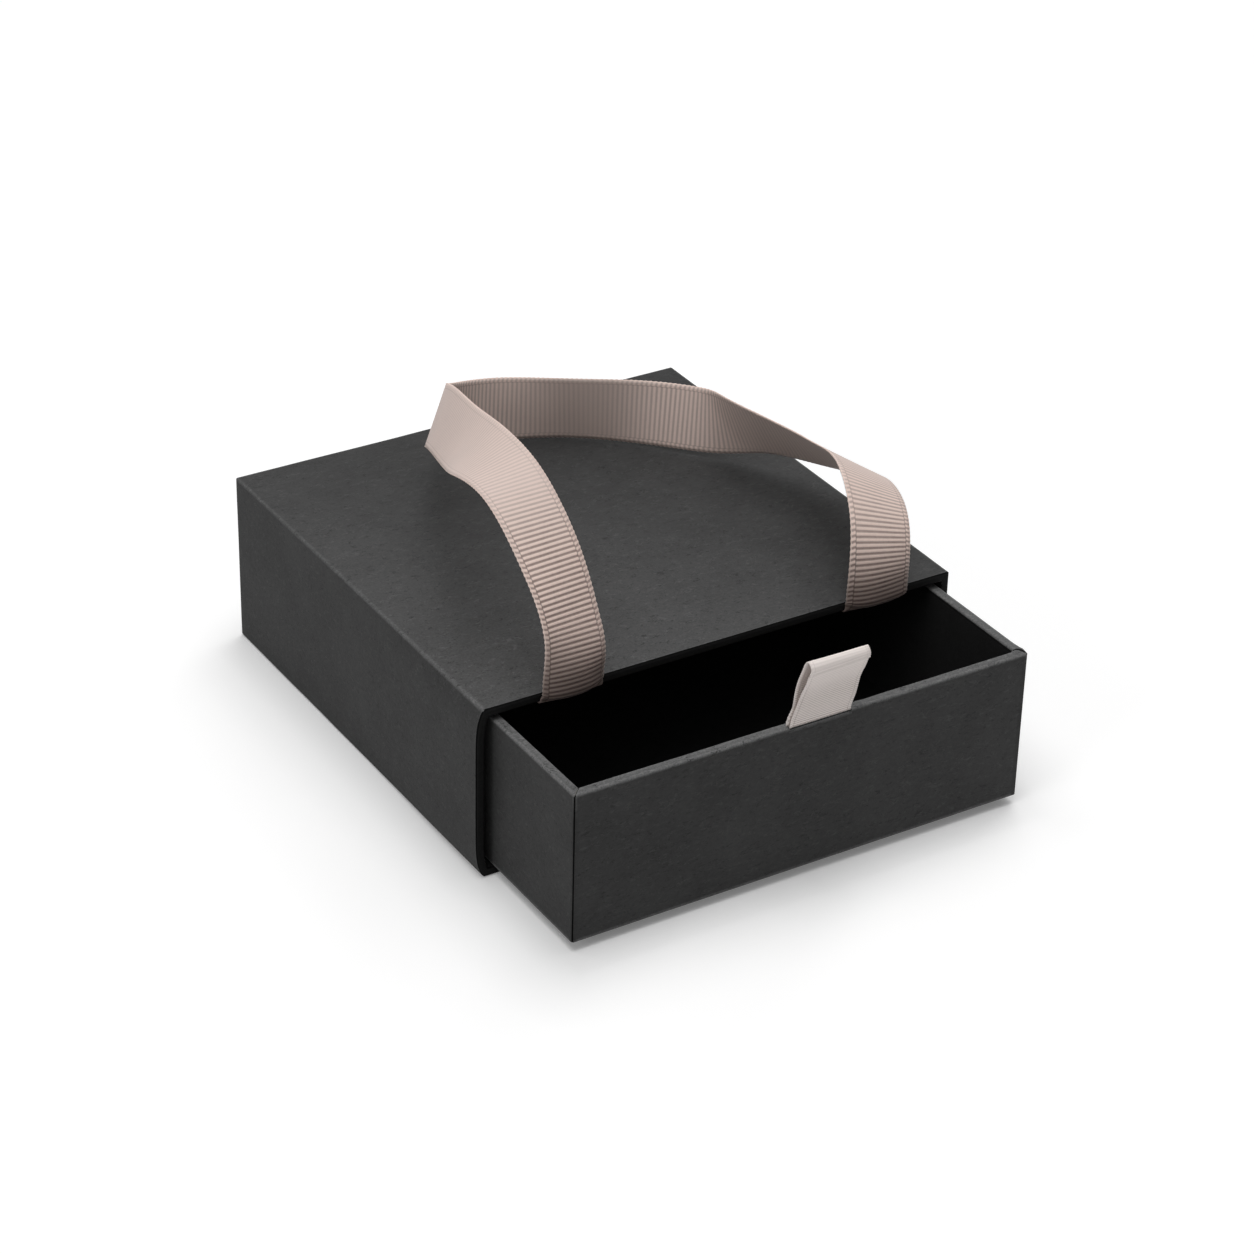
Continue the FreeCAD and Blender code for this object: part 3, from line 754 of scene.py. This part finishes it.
def on_rim(point):
    """Worn on top of the rim and down its outer bend, and a little paler all over, more so towards
    the right.
    """
    paler = ALL_OVER_PALER + RIGHT_PALER * portion((point.x + PALER_HALF) / (2 * PALER_HALF))
    inward = min(tray_high.x - abs(point.x), point.y - tray_low.y, tray_high.y - point.y)
    most = RIM_WORN + RIM_WORN_INSIDE * portion(inward / TRAY_WALL)
    below = tray_high.z - point.z
    if (abs(point.x) > tray_high.x - CORNER_STRIP and point.y < tray_low.y + CORNER_STRIP
            and below > CORNER_STRIP):  # the front corners' seams stay dark
        paler -= CORNER_LESS
    return max(min((WEAR_FROM - below) / WEAR_OVER, 1) * most, paler)


# %% [markdown]
# The slit is a hole in the paper: its faces are found by their place and deleted, and the open edge
# is pushed down. Its walls and the strip of rim in front of it are black, which is painted shade.
# The paper inside the tray gets the darker paper, which is painted shade too.

# %% Pucker the rim, open the slit and rub the rim
SLIT_DEPTH = 1.2 * MM


def in_slit(middle):
    """On the rim, and from the slit's left to its right end."""
    return abs(middle.x - TAB_X) < SLIT_HALF.x and middle.z > tray_high.z - RIM_DEPTH


def inside_tray(middle):
    """On the turned-in paper, below the rim's inner bend."""
    return (abs(middle.x) < tray_high.x - TRAY_WALL + 0.1 * MM
            and tray_low.y + TRAY_WALL - 0.1 * MM < middle.y < tray_high.y - TRAY_WALL + 0.1 * MM
            and middle.z < tray_high.z - 0.4 * MM)


reshape(skin, puckered)
edit(skin)
pick("FACE", lambda middle, facing: facing.z > 0.1 and in_slit(middle)
     and abs(middle.y - TAB_Y) < SLIT_HALF.y)
bpy.ops.mesh.delete(type="FACE")
pick("EDGE", lambda middle, edge: edge.is_boundary and middle.z > tray_high.z - 0.8 * MM)
bpy.ops.mesh.extrude_region_move(TRANSFORM_OT_translate={"value": (0, 0, -SLIT_DEPTH)})
# the slit's walls in black: painted shade
assign(BLACK)
# the strip of rim in front of the slit in black: painted shade
pick("FACE", lambda middle, facing: facing.z > 0.05 and in_slit(middle)
     and middle.y < TAB_Y - SLIT_HALF.y)
assign(BLACK)
# the paper inside the tray gets the darker paper: painted shade
pick("FACE", lambda middle, facing: inside_tray(middle))
assign(SHADE_SLOT)
close()
rub_edges(skin, tray_low, tray_high, EDGE_ROW, most=0.8, also=on_rim)
print("the slit is", round(2 * SLIT_HALF.x / MM, 1), "mm long")

# %% [markdown]
# The mitre runs through the corner of the outline at 45 degrees. Each corner gets three parallel
# cuts: the mitre itself, and one on each side of it. Everything ahead of both mitres belongs to the
# front sheet. Down the corner the narrow strip between the outer cuts is taken out, where the black
# tape under the papers shows. On the rim the faces beside the mitre are black, which is painted
# shade of the gap, and the cut edges are drawn back a little.

# %% Part the front sheet from the wrap
GAP = 0.3 * MM
RIM_GAPS = 0.1 * MM, 0.3 * MM  # at the left and at the right corner
ON_MITRE = 0.02 * MM


def ahead(point):
    """How far a point is on the front sheet's side of the nearer mitre."""
    inset = point.y - tray_low.y
    return min(point.x - tray_low.x - inset, tray_high.x - point.x - inset)


edit(skin)
for corner, slant in ((tray_low.x, 1), (tray_high.x, -1)):
    for shift in (-GAP, 0, GAP):
        bpy.ops.mesh.select_all(action="SELECT")
        bpy.ops.mesh.bisect(plane_co=(corner + shift, tray_low.y, 0), plane_no=(1, -slant, 0))
pick("FACE", lambda middle, facing: abs(ahead(middle)) < GAP
     and middle.z < tray_high.z - TRAY_BEND and abs(middle.x) > tray_high.x - CORNER_STRIP)
bpy.ops.mesh.delete(type="FACE")
pick("FACE", lambda middle, facing: abs(ahead(middle)) < GAP
     and middle.z > tray_high.z - RIM_DEPTH and abs(middle.x) > tray_high.x - TRAY_WALL
     and (middle.x > 0 or ahead(middle) > 0))
# the rim's faces beside the mitre in black: painted shade of the gap
assign(BLACK)
pick("FACE", lambda middle, facing: ahead(middle) > 0)
bpy.ops.mesh.separate(type="SELECTED")
close()
front = next(item for item in bpy.context.selected_objects if item != skin)
front.name = front.data.name = "tray_front_cover"


def drawn_back(point):
    """A point on the rim's mitre goes back from it a little, along its own paper."""
    if abs(ahead(point)) > ON_MITRE:
        return point
    gap = RIM_GAPS[point.x > 0]
    if piece is front:
        return point - Vector((math.copysign(gap, point.x), 0, 0))
    return point + Vector((0, gap, 0))


for piece in (skin, front):
    reshape(piece, drawn_back)
    waver(piece, 0.18 * MM, 15 * MM)
    thicken(piece, PAPER)
    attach(piece, "tray")
    tell(piece)
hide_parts("tray_wrap")
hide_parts("tray_front_sheet")

# %% [markdown]
# ## The black lining
# The tray's inside is so dark that its corners disappear. A box of black paper without a lid
# lines it, nearly up to the rim, where it covers the turned-in wrap. Its inner corners are
# slightly round, because paper doesn't fold to a perfect edge.

# %% Tray lining
LINING_PROUD, LINING_BEND, LINING_THICK, LINING_STEP = 0.08 * MM, 0.5 * MM, 0.05 * MM, 8 * MM
BELOW_RIM = 1.1 * MM
inset = TRAY_WALL + LINING_PROUD
floor_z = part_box("tray_lining")[0].z + PAPER
low = Vector((tray_low.x + inset, tray_low.y + inset, floor_z))
high = Vector((tray_high.x - inset, tray_high.y - inset, tray_high.z - BELOW_RIM))
lining = block("tray_black_lining", low, high)
edit(lining)
pick("FACE", lambda middle, facing: facing.z > 0.9)
bpy.ops.mesh.delete(type="FACE")
for axis in range(3):
    cut_across(axis, spaced(low[axis], high[axis], LINING_STEP))
bpy.ops.mesh.select_all(action="SELECT")
bpy.ops.mesh.flip_normals()
close()
bend_edges(lining, LINING_BEND)
waver(lining, 0.04 * MM)
thicken(lining, LINING_THICK)
give_finish(lining, black_paper)
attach(lining, "tray")
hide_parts("tray_lining")
tell(lining)

# %% [markdown]
# ## Grosgrain
# Grosgrain is a ribbon with ribs across it: fine threads run along the ribbon, over thick cords
# that lie crosswise, and the cords' ends turn back at each edge in a row of small beads. The ribs
# are shape, and the fine threads over them are too small to model, so they are bump. The colours
# follow the ribbon's own flat coordinates, so that they turn and bend with it: a painted highlight
# lightens each rib's crest, and painted shade darkens the hollows between the ribs and the line
# beside the beads.

# %% Grosgrain finish
BEAD_SLANT = 1.8
SHEEN, SHEEN_ROUGHNESS = 0.12, 0.4
BEAD_LINE, SEAM_LINE, LAST_LINE = 0.12, (0.18, 0.05), (0.28, 0.1)  # mm over which each fades
RIB_SHARE, UNEVEN_SHARE, BEADS_PALER, LAST_PALER, PRESSED_SHARE = 0.82, 0.2, 0.1, 0.7, 0.9
SEAM_CRISP, SEAM_LEAST = 0.6, 0.1
CLOUDED, CLOUD_TONE, SHADE_SHARE, SHADE_TONE = 0.2, 0.86, 0.75, 0.35
THREAD, THREAD_HEIGHT, RIBBON_BUMP, RIBBON_RELIEF = 0.2, 0.25, 0.3, 0.04 * MM


def shade(colour, tone):
    """A darker or paler tone of a colour."""
    return (*(part * tone for part in colour[:3]), 1)


# the crest colour carries a painted highlight, the groove colour painted shade, which also darkens
# the seam line
def grosgrain(name, crest_highlight, groove_shade, pressed, width, ribs, beads):
    """Sizes in mm; beads is how wide the beaded edge is; pressed is the colour without ribs."""
    material, tree, shader = new_finish(name, 0.7, 0.25)
    shader.inputs["Sheen Weight"].default_value = SHEEN
    shader.inputs["Sheen Roughness"].default_value = SHEEN_ROUGHNESS
    flat = add_node(tree, "ShaderNodeUVMap", {"uv_map": "flat"}).outputs[0]
    along, across, _ = add_node(tree, "ShaderNodeSeparateXYZ", Vector=flat).outputs
    even, crisp = object_mm(tree), stored(tree, "crisp")
    off_centre = math_node(tree, "ABSOLUTE", math_node(tree, "SUBTRACT", across, 0.5))
    from_edge = times_plus(tree, off_centre, -width, width / 2)
    beaded = between(tree, from_edge, beads, beads - BEAD_LINE)
    slant = times(tree, from_edge, times(tree, beaded, BEAD_SLANT / beads))
    turns = times_plus(tree, along, 2 * math.pi * ribs, slant)
    wave = times_plus(tree, math_node(tree, "COSINE", turns), 0.5, 0.5)
    rib = between(tree, wave, 0.15, 0.75)
    uneven = between(tree, noise_at(tree, even, 1.3, 4, 0.7), 0.2, 0.8)
    share = times_plus(tree, uneven, UNEVEN_SHARE, times(tree, rib, RIB_SHARE), clamp=True)
    off_seam = math_node(tree, "ABSOLUTE", math_node(tree, "SUBTRACT", from_edge, beads))
    seam = times(tree, between(tree, off_seam, *SEAM_LINE),
                 times_plus(tree, crisp, SEAM_CRISP, SEAM_LEAST))
    last = between(tree, from_edge, *LAST_LINE)
    slow = between(tree, noise_at(tree, even, 0.12, 3), 0.25, 0.75)
    colour = mix_colour(tree, share, groove_shade, crest_highlight)
    # paler beads, pressed ribs, the seam in painted shade, a paler last line, slow clouds, and the
    # painted shade stored on the ribbon
    for share, over in (
            (times(tree, beaded, BEADS_PALER), crest_highlight),
            (times_plus(tree, crisp, -PRESSED_SHARE, PRESSED_SHARE), pressed),
            (seam, groove_shade),
            (times(tree, last, LAST_PALER), crest_highlight),
            (times(tree, slow, CLOUDED), shade(crest_highlight, CLOUD_TONE)),
            (times(tree, stored(tree, "painted_shade"), SHADE_SHARE), shade(groove_shade, SHADE_TONE))):
        colour = mix_colour(tree, share, colour, over)
    threads = math_node(tree, "SINE", times(tree, across, 2 * math.pi * width / THREAD))
    height = times_plus(tree, threads, THREAD_HEIGHT, noise_at(tree, even, 6, 3, 0.7))
    fill_finish(tree, shader, colour, height, RIBBON_BUMP, RIBBON_RELIEF)
    return material


# %% [markdown]
# ## Laying a ribbon along its way
# A ribbon is woven flat and bent afterwards, and it is modelled so too. Its way is given by rungs,
# as on a rope ladder: each rung joins the ribbon's two edges. A smooth curve runs through all of
# them, and even steps along it say where the ribbon's middle is and which way it faces.

# %% Helpers for a ribbon's way
def distances(points):
    """How far along the line through them each point is."""
    return np.concatenate([[0], np.cumsum(np.linalg.norm(np.diff(points, axis=0), axis=1))])


def spline_through(points):
    """A smooth curve through the points: a function of the distance along them, and its knots."""
    points = np.array(points, float)
    middles = points.reshape(len(points), -1, 3).mean(1)
    knots = distances(middles)
    gaps = np.diff(knots)[:, None]
    slopes = np.diff(points, axis=0) / gaps
    bends = np.zeros_like(points)
    inner = np.diag(2 * (gaps[:-1, 0] + gaps[1:, 0]))
    inner += np.diag(gaps[1:-1, 0], 1) + np.diag(gaps[1:-1, 0], -1)
    bends[1:-1] = np.linalg.solve(inner, 6 * np.diff(slopes, axis=0))

    def at(where):
        i = np.clip(np.searchsorted(knots, where, side="right") - 1, 0, len(gaps) - 1)
        b = ((where - knots[i]) / gaps[i, 0])[:, None]
        a = 1 - b
        return a * points[i] + b * points[i + 1] + (
            (a ** 3 - a) * bends[i] + (b ** 3 - b) * bends[i + 1]) * gaps[i] ** 2 / 6
    return at, knots


def way_of(rungs, samples=3000):
    """Even steps along a ribbon: distances, each rung's distance, middles, across and inwards."""
    at, knots = spline_through([[*a, *b] for a, b in rungs])
    steps = np.linspace(0, knots[-1], samples)
    edges = at(steps)
    middles = (edges[:, :3] + edges[:, 3:]) / 2
    far = distances(middles)
    along = np.gradient(middles, axis=0)
    along /= np.linalg.norm(along, axis=1)[:, None]
    across = edges[:, 3:] - edges[:, :3]
    across -= along * (along * across).sum(1)[:, None]
    across /= np.linalg.norm(across, axis=1)[:, None]
    return far, np.interp(knots, steps, far), middles, across, np.cross(along, across)


# %% [markdown]
# The flat ribbon is a long grid. Its ribs are a pattern of weights on the grid's points: cords in
# the middle, slanting beads along the edges and a thin line between them. Solidify makes the
# ribbon thick where the weight is high. Where the ribs are pressed flat, the weights are nearly
# the same.

# %% Helper that weaves a flat ribbon
CORD_POWER, BEAD_LEVEL, BEAD_SWING, SEAM_LEVEL, PRESSED_LEVEL = 0.7, 0.55, 0.45, 0.55, 0.7


def points_of(piece):
    """The places of a mesh's points, one per row."""
    places = np.zeros(len(piece.data.vertices) * 3)
    piece.data.vertices.foreach_get("co", places)
    return places.reshape(-1, 3)


def woven(name, width, thick, ribs, beads, rows_per_rib, columns, hollow, crisp_at):
    """A flat ribbon that reaches from -1 to 1 along x and y, with its ribs."""
    bpy.ops.object.select_all(action="DESELECT")
    bpy.ops.mesh.primitive_grid_add(x_subdivisions=ribs * rows_per_rib, y_subdivisions=columns,
                                    size=2, calc_uvs=True)
    piece = bpy.context.object
    piece.name = piece.data.name = name
    piece.data.uv_layers[0].name = "flat"
    along, across, _ = points_of(piece).T
    turn = (along + 1) * math.pi * ribs
    from_edge = (1 - abs(across)) * width / 2
    cord = (0.5 + 0.5 * np.cos(turn)) ** CORD_POWER
    bead = BEAD_LEVEL + BEAD_SWING * np.cos(turn + from_edge / beads * BEAD_SLANT)
    weight = np.where(from_edge < beads, bead, cord)
    weight[abs(from_edge - beads) < width / columns * 0.5] *= SEAM_LEVEL
    weight = PRESSED_LEVEL + (weight - PRESSED_LEVEL) * crisp_at(along)
    group = piece.vertex_groups.new(name="ribs")
    for level in np.unique(np.round(weight, 3)):
        group.add(np.flatnonzero(np.round(weight, 3) == level).tolist(), float(level), "REPLACE")
    apply_modifier(piece, "SOLIDIFY", thickness=thick, offset=0, vertex_group="ribs",
                   thickness_vertex_group=hollow)
    piece.vertex_groups.clear()
    return piece


# %% [markdown]
# Then each point of the flat ribbon moves to the same spot of the bent one. Before that it may be
# lifted off the ribbon's middle plane, where the ribbon is cupped or creased. How crisp the ribbon
# is at each point, and how much painted shade it gets, is stored on it, for the finish.

# %% Helper that lays a ribbon
SCALLOP, OUTERMOST, CUP_POWER, SHORTEST = 0.006, 0.98, 2.5, 0.01


def smooth(value):
    """0 up to 0, 1 from 1 on, and a soft step between them."""
    value = np.clip(value, 0, 1)
    return value * value * (3 - 2 * value)


def ribbon(name, rungs, width, thick, pitch, beads, rows_per_rib, columns, crispness,
           hollow=0.35, cups=(), shade_spots=(), creases=()):
    """A grosgrain ribbon along its rungs, in mm, and its flat length in mm.

    Crispness says at each rung how sharp the ribs are. Cups, shade spots and creases have their
    places as rung numbers. A cup draws the two edges inwards by its last two values, a shade spot
    darkens with painted shade, and a crease is a line pressed across the ribbon.
    """
    far, rung_far, middles, across, inward = way_of(rungs)

    def distance(place):
        """How far along the ribbon a rung is."""
        return np.interp(place, range(len(rungs)), rung_far)

    def crisp_at(along):
        """How sharp the ribs are, from -1 to 1 along the flat ribbon."""
        return np.interp((along + 1) / 2 * far[-1], rung_far, crispness)

    def window(where, *places):
        """0 before the first and after the last of four rungs, and 1 between the other two."""
        start, full, still, end = map(distance, places)
        return (smooth((where - start) / max(full - start, SHORTEST))
                * smooth((end - where) / max(end - still, SHORTEST)))

    piece = woven(name, width, thick, round(far[-1] / pitch), beads, rows_per_rib, columns,
                  hollow, crisp_at)
    along, sideways, depth = points_of(piece).T.copy()
    where = (along + 1) / 2 * far[-1]
    middle, side, into = (np.stack([np.interp(where, far, axis[:, k]) for k in range(3)], 1)
                          for axis in (middles, across, inward))
    outermost = abs(sideways) > OUTERMOST
    scallop = 1 - SCALLOP * (1 - np.cos(where / pitch * 2 * np.pi)) * outermost
    for *places, first, second in cups:
        depth += (window(where, *places) * np.where(sideways < 0, first, second)
                  * abs(sideways) ** CUP_POWER)
    for place, pressed, breadth in creases:
        depth += pressed * np.exp(-((where - distance(place)) / breadth) ** 2)
    laid = middle + side * (sideways * scallop * width / 2)[:, None] + into * depth[:, None]
    piece.data.vertices.foreach_set("co", (laid * MM).ravel())
    painted_shade = sum((window(where + slant * sideways, *places) * amount
                  for *places, amount, slant in shade_spots), np.zeros(len(where)))
    for label, values in (("crisp", crisp_at(along)), ("painted_shade", painted_shade)):
        piece.data.attributes.new(label, "FLOAT", "POINT").data.foreach_set("value", values)
    only(piece)
    bpy.ops.object.shade_smooth()
    return piece, far[-1]


# %% [markdown]
# ## The handle
# The handle is one length of ribbon. Each end is glued under the sleeve's top, comes out of the
# mouth, bends up round nothing but its own stiffness, and rises. From the left end it goes up and
# back, twists over at the left, and then stands on its lower edge on the sleeve in a wide curve,
# before it comes down to the right end.

# %% Rungs of the handle
RIBBON_WIDTH, RIBBON_THICK = 15.5, 0.4
MOUTH_Y, TOP_Z = sleeve_low.y / MM, sleeve_high.z / MM
END_X = 39
GLUED_BACK, GLUED_Z = MOUTH_Y + 20, 40.3
BEND = 2.7
LOOP = (  # outer edge, other edge: x, behind the mouth, over the top
    ((-46.4, -1.8, 12.8), (-31.1, 0.8, 12.6)),
    ((-47, 8.5, 27.5), (-31.5, 10, 27.5)),
    ((-47.2, 22.6, 35.9), (-31.8, 24, 37.6)),
    ((-45, 37.2, 33.8), (-31, 40.1, 39.5)),
    ((-37.3, 57.7, 24.9), (-27.1, 63, 35.2)),
    ((-30, 79.3, 17.7), (-21.3, 83.7, 30)),
    ((-17.1, 97.3, 6.4), (-10.8, 101.6, 20)),
    ((1.6, 103.2, 0.9), (3, 106, 16)),
    ((21.5, 94.6, 0.4), (21.8, 95.2, 15.9)),
    ((35.9, 80.4, 1.2), (37.7, 84.6, 15.3)),
    ((43.8, 70.3, 3.2), (43.2, 74.1, 15.5)),
    ((48.5, 63, 4.5), (42.9, 61.8, 18.9)),
    ((57.1, 39, 8.8), (46.6, 36.4, 19.8)),
    ((54.1, 18.7, 17), (40.6, 15.8, 24.1)),
    ((49.6, 3.9, 16.5), (34.3, 3.3, 18.9)),
)


def end_rungs(side):
    """From the glued end under the top to where the ribbon stands upright before the mouth."""
    spots = [(GLUED_BACK - step, GLUED_Z) for step in (0, 7, 14, 18)]
    spots += [(MOUTH_Y - BEND * math.sin(turn), GLUED_Z + BEND * (1 - math.cos(turn)))
              for turn in (0, math.pi / 6, math.pi / 3, math.pi / 2)]
    spots += [(MOUTH_Y - BEND, TOP_Z + rise) for rise in (1.65, 3.15, 4.65)]
    return [tuple((side * (END_X + half), y, z) for half in (RIBBON_WIDTH / 2, -RIBBON_WIDTH / 2))
            for y, z in spots]


loop_rungs = [tuple((x, MOUTH_Y + back, TOP_Z + over) for x, back, over in rung) for rung in LOOP]
handle_rungs = end_rungs(-1) + loop_rungs + end_rungs(1)[::-1]
print("rungs of the handle:", len(handle_rungs))

# %% [markdown]
# Hands have pressed the ribs nearly flat along the loop, and they are still crisp at both ends.
# The ribbon is cupped where it bends up out of the mouth, and darker where it comes out from under
# the top, which is painted shade.

# %% Handle ribbon
PITCH, BEADS = 1.15, 1.25
LOOP_CRISPNESS = (1, 0.9, 0.14, 0.1, 0.12, 0.15, 0.4, 0.3, 0.03, 0.4, 0.35, 0.1, 0.05, 0.2, 0.6)
END_CRISPNESS = (1,) * len(end_rungs(1))
LAST = len(handle_rungs) - 1
CUPS = (  # four rungs, and how far each edge is drawn inwards
    (4, 5, 7.5, 11, 1.3, 2.0), (LAST - 11, LAST - 7.5, LAST - 5, LAST - 4, 0.6, 2.0),
)
# painted shade: where each end curls out from under the top, and on two stretches of the back run
# beside its twists
SHADE_SPOTS = (  # four rungs, how much, and the slant in mm
    (-1, 0, 5, 11.3, 1, 0), (LAST - 10.6, LAST - 5, LAST, LAST + 1, 1, 0),
    (18.2, 18.9, 19.2, 19.9, 0.28, 0), (21.15, 21.4, 21.6, 23.4, 0.06, 6),
)
handle, handle_length = ribbon("grosgrain_handle", handle_rungs, RIBBON_WIDTH, RIBBON_THICK, PITCH,
                               BEADS, rows_per_rib=5, columns=18, cups=CUPS, shade_spots=SHADE_SPOTS,
                               crispness=END_CRISPNESS + LOOP_CRISPNESS + END_CRISPNESS)
ribs = round(handle_length / PITCH)
# crest colour with painted highlight, groove colour with painted shade, then the pressed colour
taupe = grosgrain("taupe_grosgrain", (0.97, 0.77, 0.685, 1), (0.15, 0.1, 0.088, 1),
                  (0.71, 0.585, 0.535, 1), RIBBON_WIDTH, ribs, BEADS)
give_finish(handle, taupe)
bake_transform(handle)
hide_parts("handle_ribbon", "handle_end_left", "handle_end_right")
tell(handle)
print("its ribbon:", round(handle_length), "mm long, with", ribs, "ribs")

# %% [markdown]
# ## The pull tab
# A short piece of paler ribbon is folded over and both its ends are pushed through the slit in
# the front sheet. Its two layers part towards the fold, the whole tab leans forward, and the
# right edge bends a little more than the left.

# %% Rungs of the pull tab
RIM_Z, SLIT_X, SLIT_Y = tray_high.z / MM, TAB_X / MM, TAB_Y / MM
HIDDEN = (-17.5, -9, -2)  # under the rim, where the tab is straight
TAB = (  # left edge, right edge: sideways, behind the slit, over the rim
    *(((0, 0.3, over),) * 2 for over in HIDDEN),
    ((-1.3, 0.3, 0.4), (0.2, 0.3, 0.4)),
    ((-0.3, -0.75, 4.2), (0.1, -0.6, 4)),
    ((0, -1.35, 7.7), (0, -1.2, 7.6)),
    ((0, -2.55, 12.6), (0, -2.3, 12)),
    ((0, -4.2, 16.5), (0, -3.7, 15.8)),
    ((0, -4.95, 18), (0, -4.4, 17.3)),
    ((0, -5.8, 18.6), (0, -5.1, 18)),
    ((0, -6.65, 18.1), (0, -5.9, 17.6)),
    ((0, -7.05, 17.2), (0, -6.25, 16.7)),
    ((0, -6.65, 16.2), (0, -5.8, 15.6)),
    ((0, -5.6, 13.6), (0, -4.75, 13.1)),
    ((0, -4.1, 10.4), (0, -3.3, 10.1)),
    ((0, -2.8, 7.3), (0, -2.4, 6.8)),
    ((0, -1.6, 4.2), (0, -1.5, 3.7)),
    ((0, -0.55, 1.3), (0, -0.6, 1.3)),
    *(((0, -0.15, over),) * 2 for over in HIDDEN[::-1]),
)
tab_rungs = [tuple((SLIT_X + side * RIBBON_WIDTH / 2 + shift, SLIT_Y + back, RIM_Z + over)
                   for side, (shift, back, over) in zip((-1, 1), rung)) for rung in TAB]
print("rungs of the pull tab:", len(tab_rungs))

# %% [markdown]
# The tab's ribs are finer than the handle's. They are smoothed out round the fold, where a crease
# runs across the ribbon, darkened by a line of painted shade.

# %% Pull tab
TAB_PITCH, TAB_BEADS, TAB_THICK = 0.62, 0.9, 0.34
TAB_CRISPNESS = (0.9,) * 6 + (0.5,) + (0.15,) * 6 + (0.35, 0.7) + (0.9,) * 6
# the crease's dark line is painted shade
tab, tab_length = ribbon("grosgrain_pull_tab", tab_rungs, RIBBON_WIDTH, TAB_THICK, TAB_PITCH,
                         TAB_BEADS, rows_per_rib=4, columns=20, crispness=TAB_CRISPNESS,
                         hollow=0.6, shade_spots=((11.85, 12, 12.02, 12.17, 0.35, 0),),
                         creases=((12, 0.25, 0.25),))
ribs = round(tab_length / TAB_PITCH)
# crest colour with painted highlight, groove colour with painted shade, then the pressed colour
greige = grosgrain("greige_grosgrain", (0.95, 0.87, 0.83, 1), (0.46, 0.4, 0.37, 1),
                   (0.97, 0.885, 0.845, 1), RIBBON_WIDTH, ribs, TAB_BEADS)
give_finish(tab, greige)
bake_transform(tab)
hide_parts("pull_tab", "pull_tab_ends")
tell(tab)
print("its ribbon:", round(tab_length), "mm long, with", ribs, "ribs")
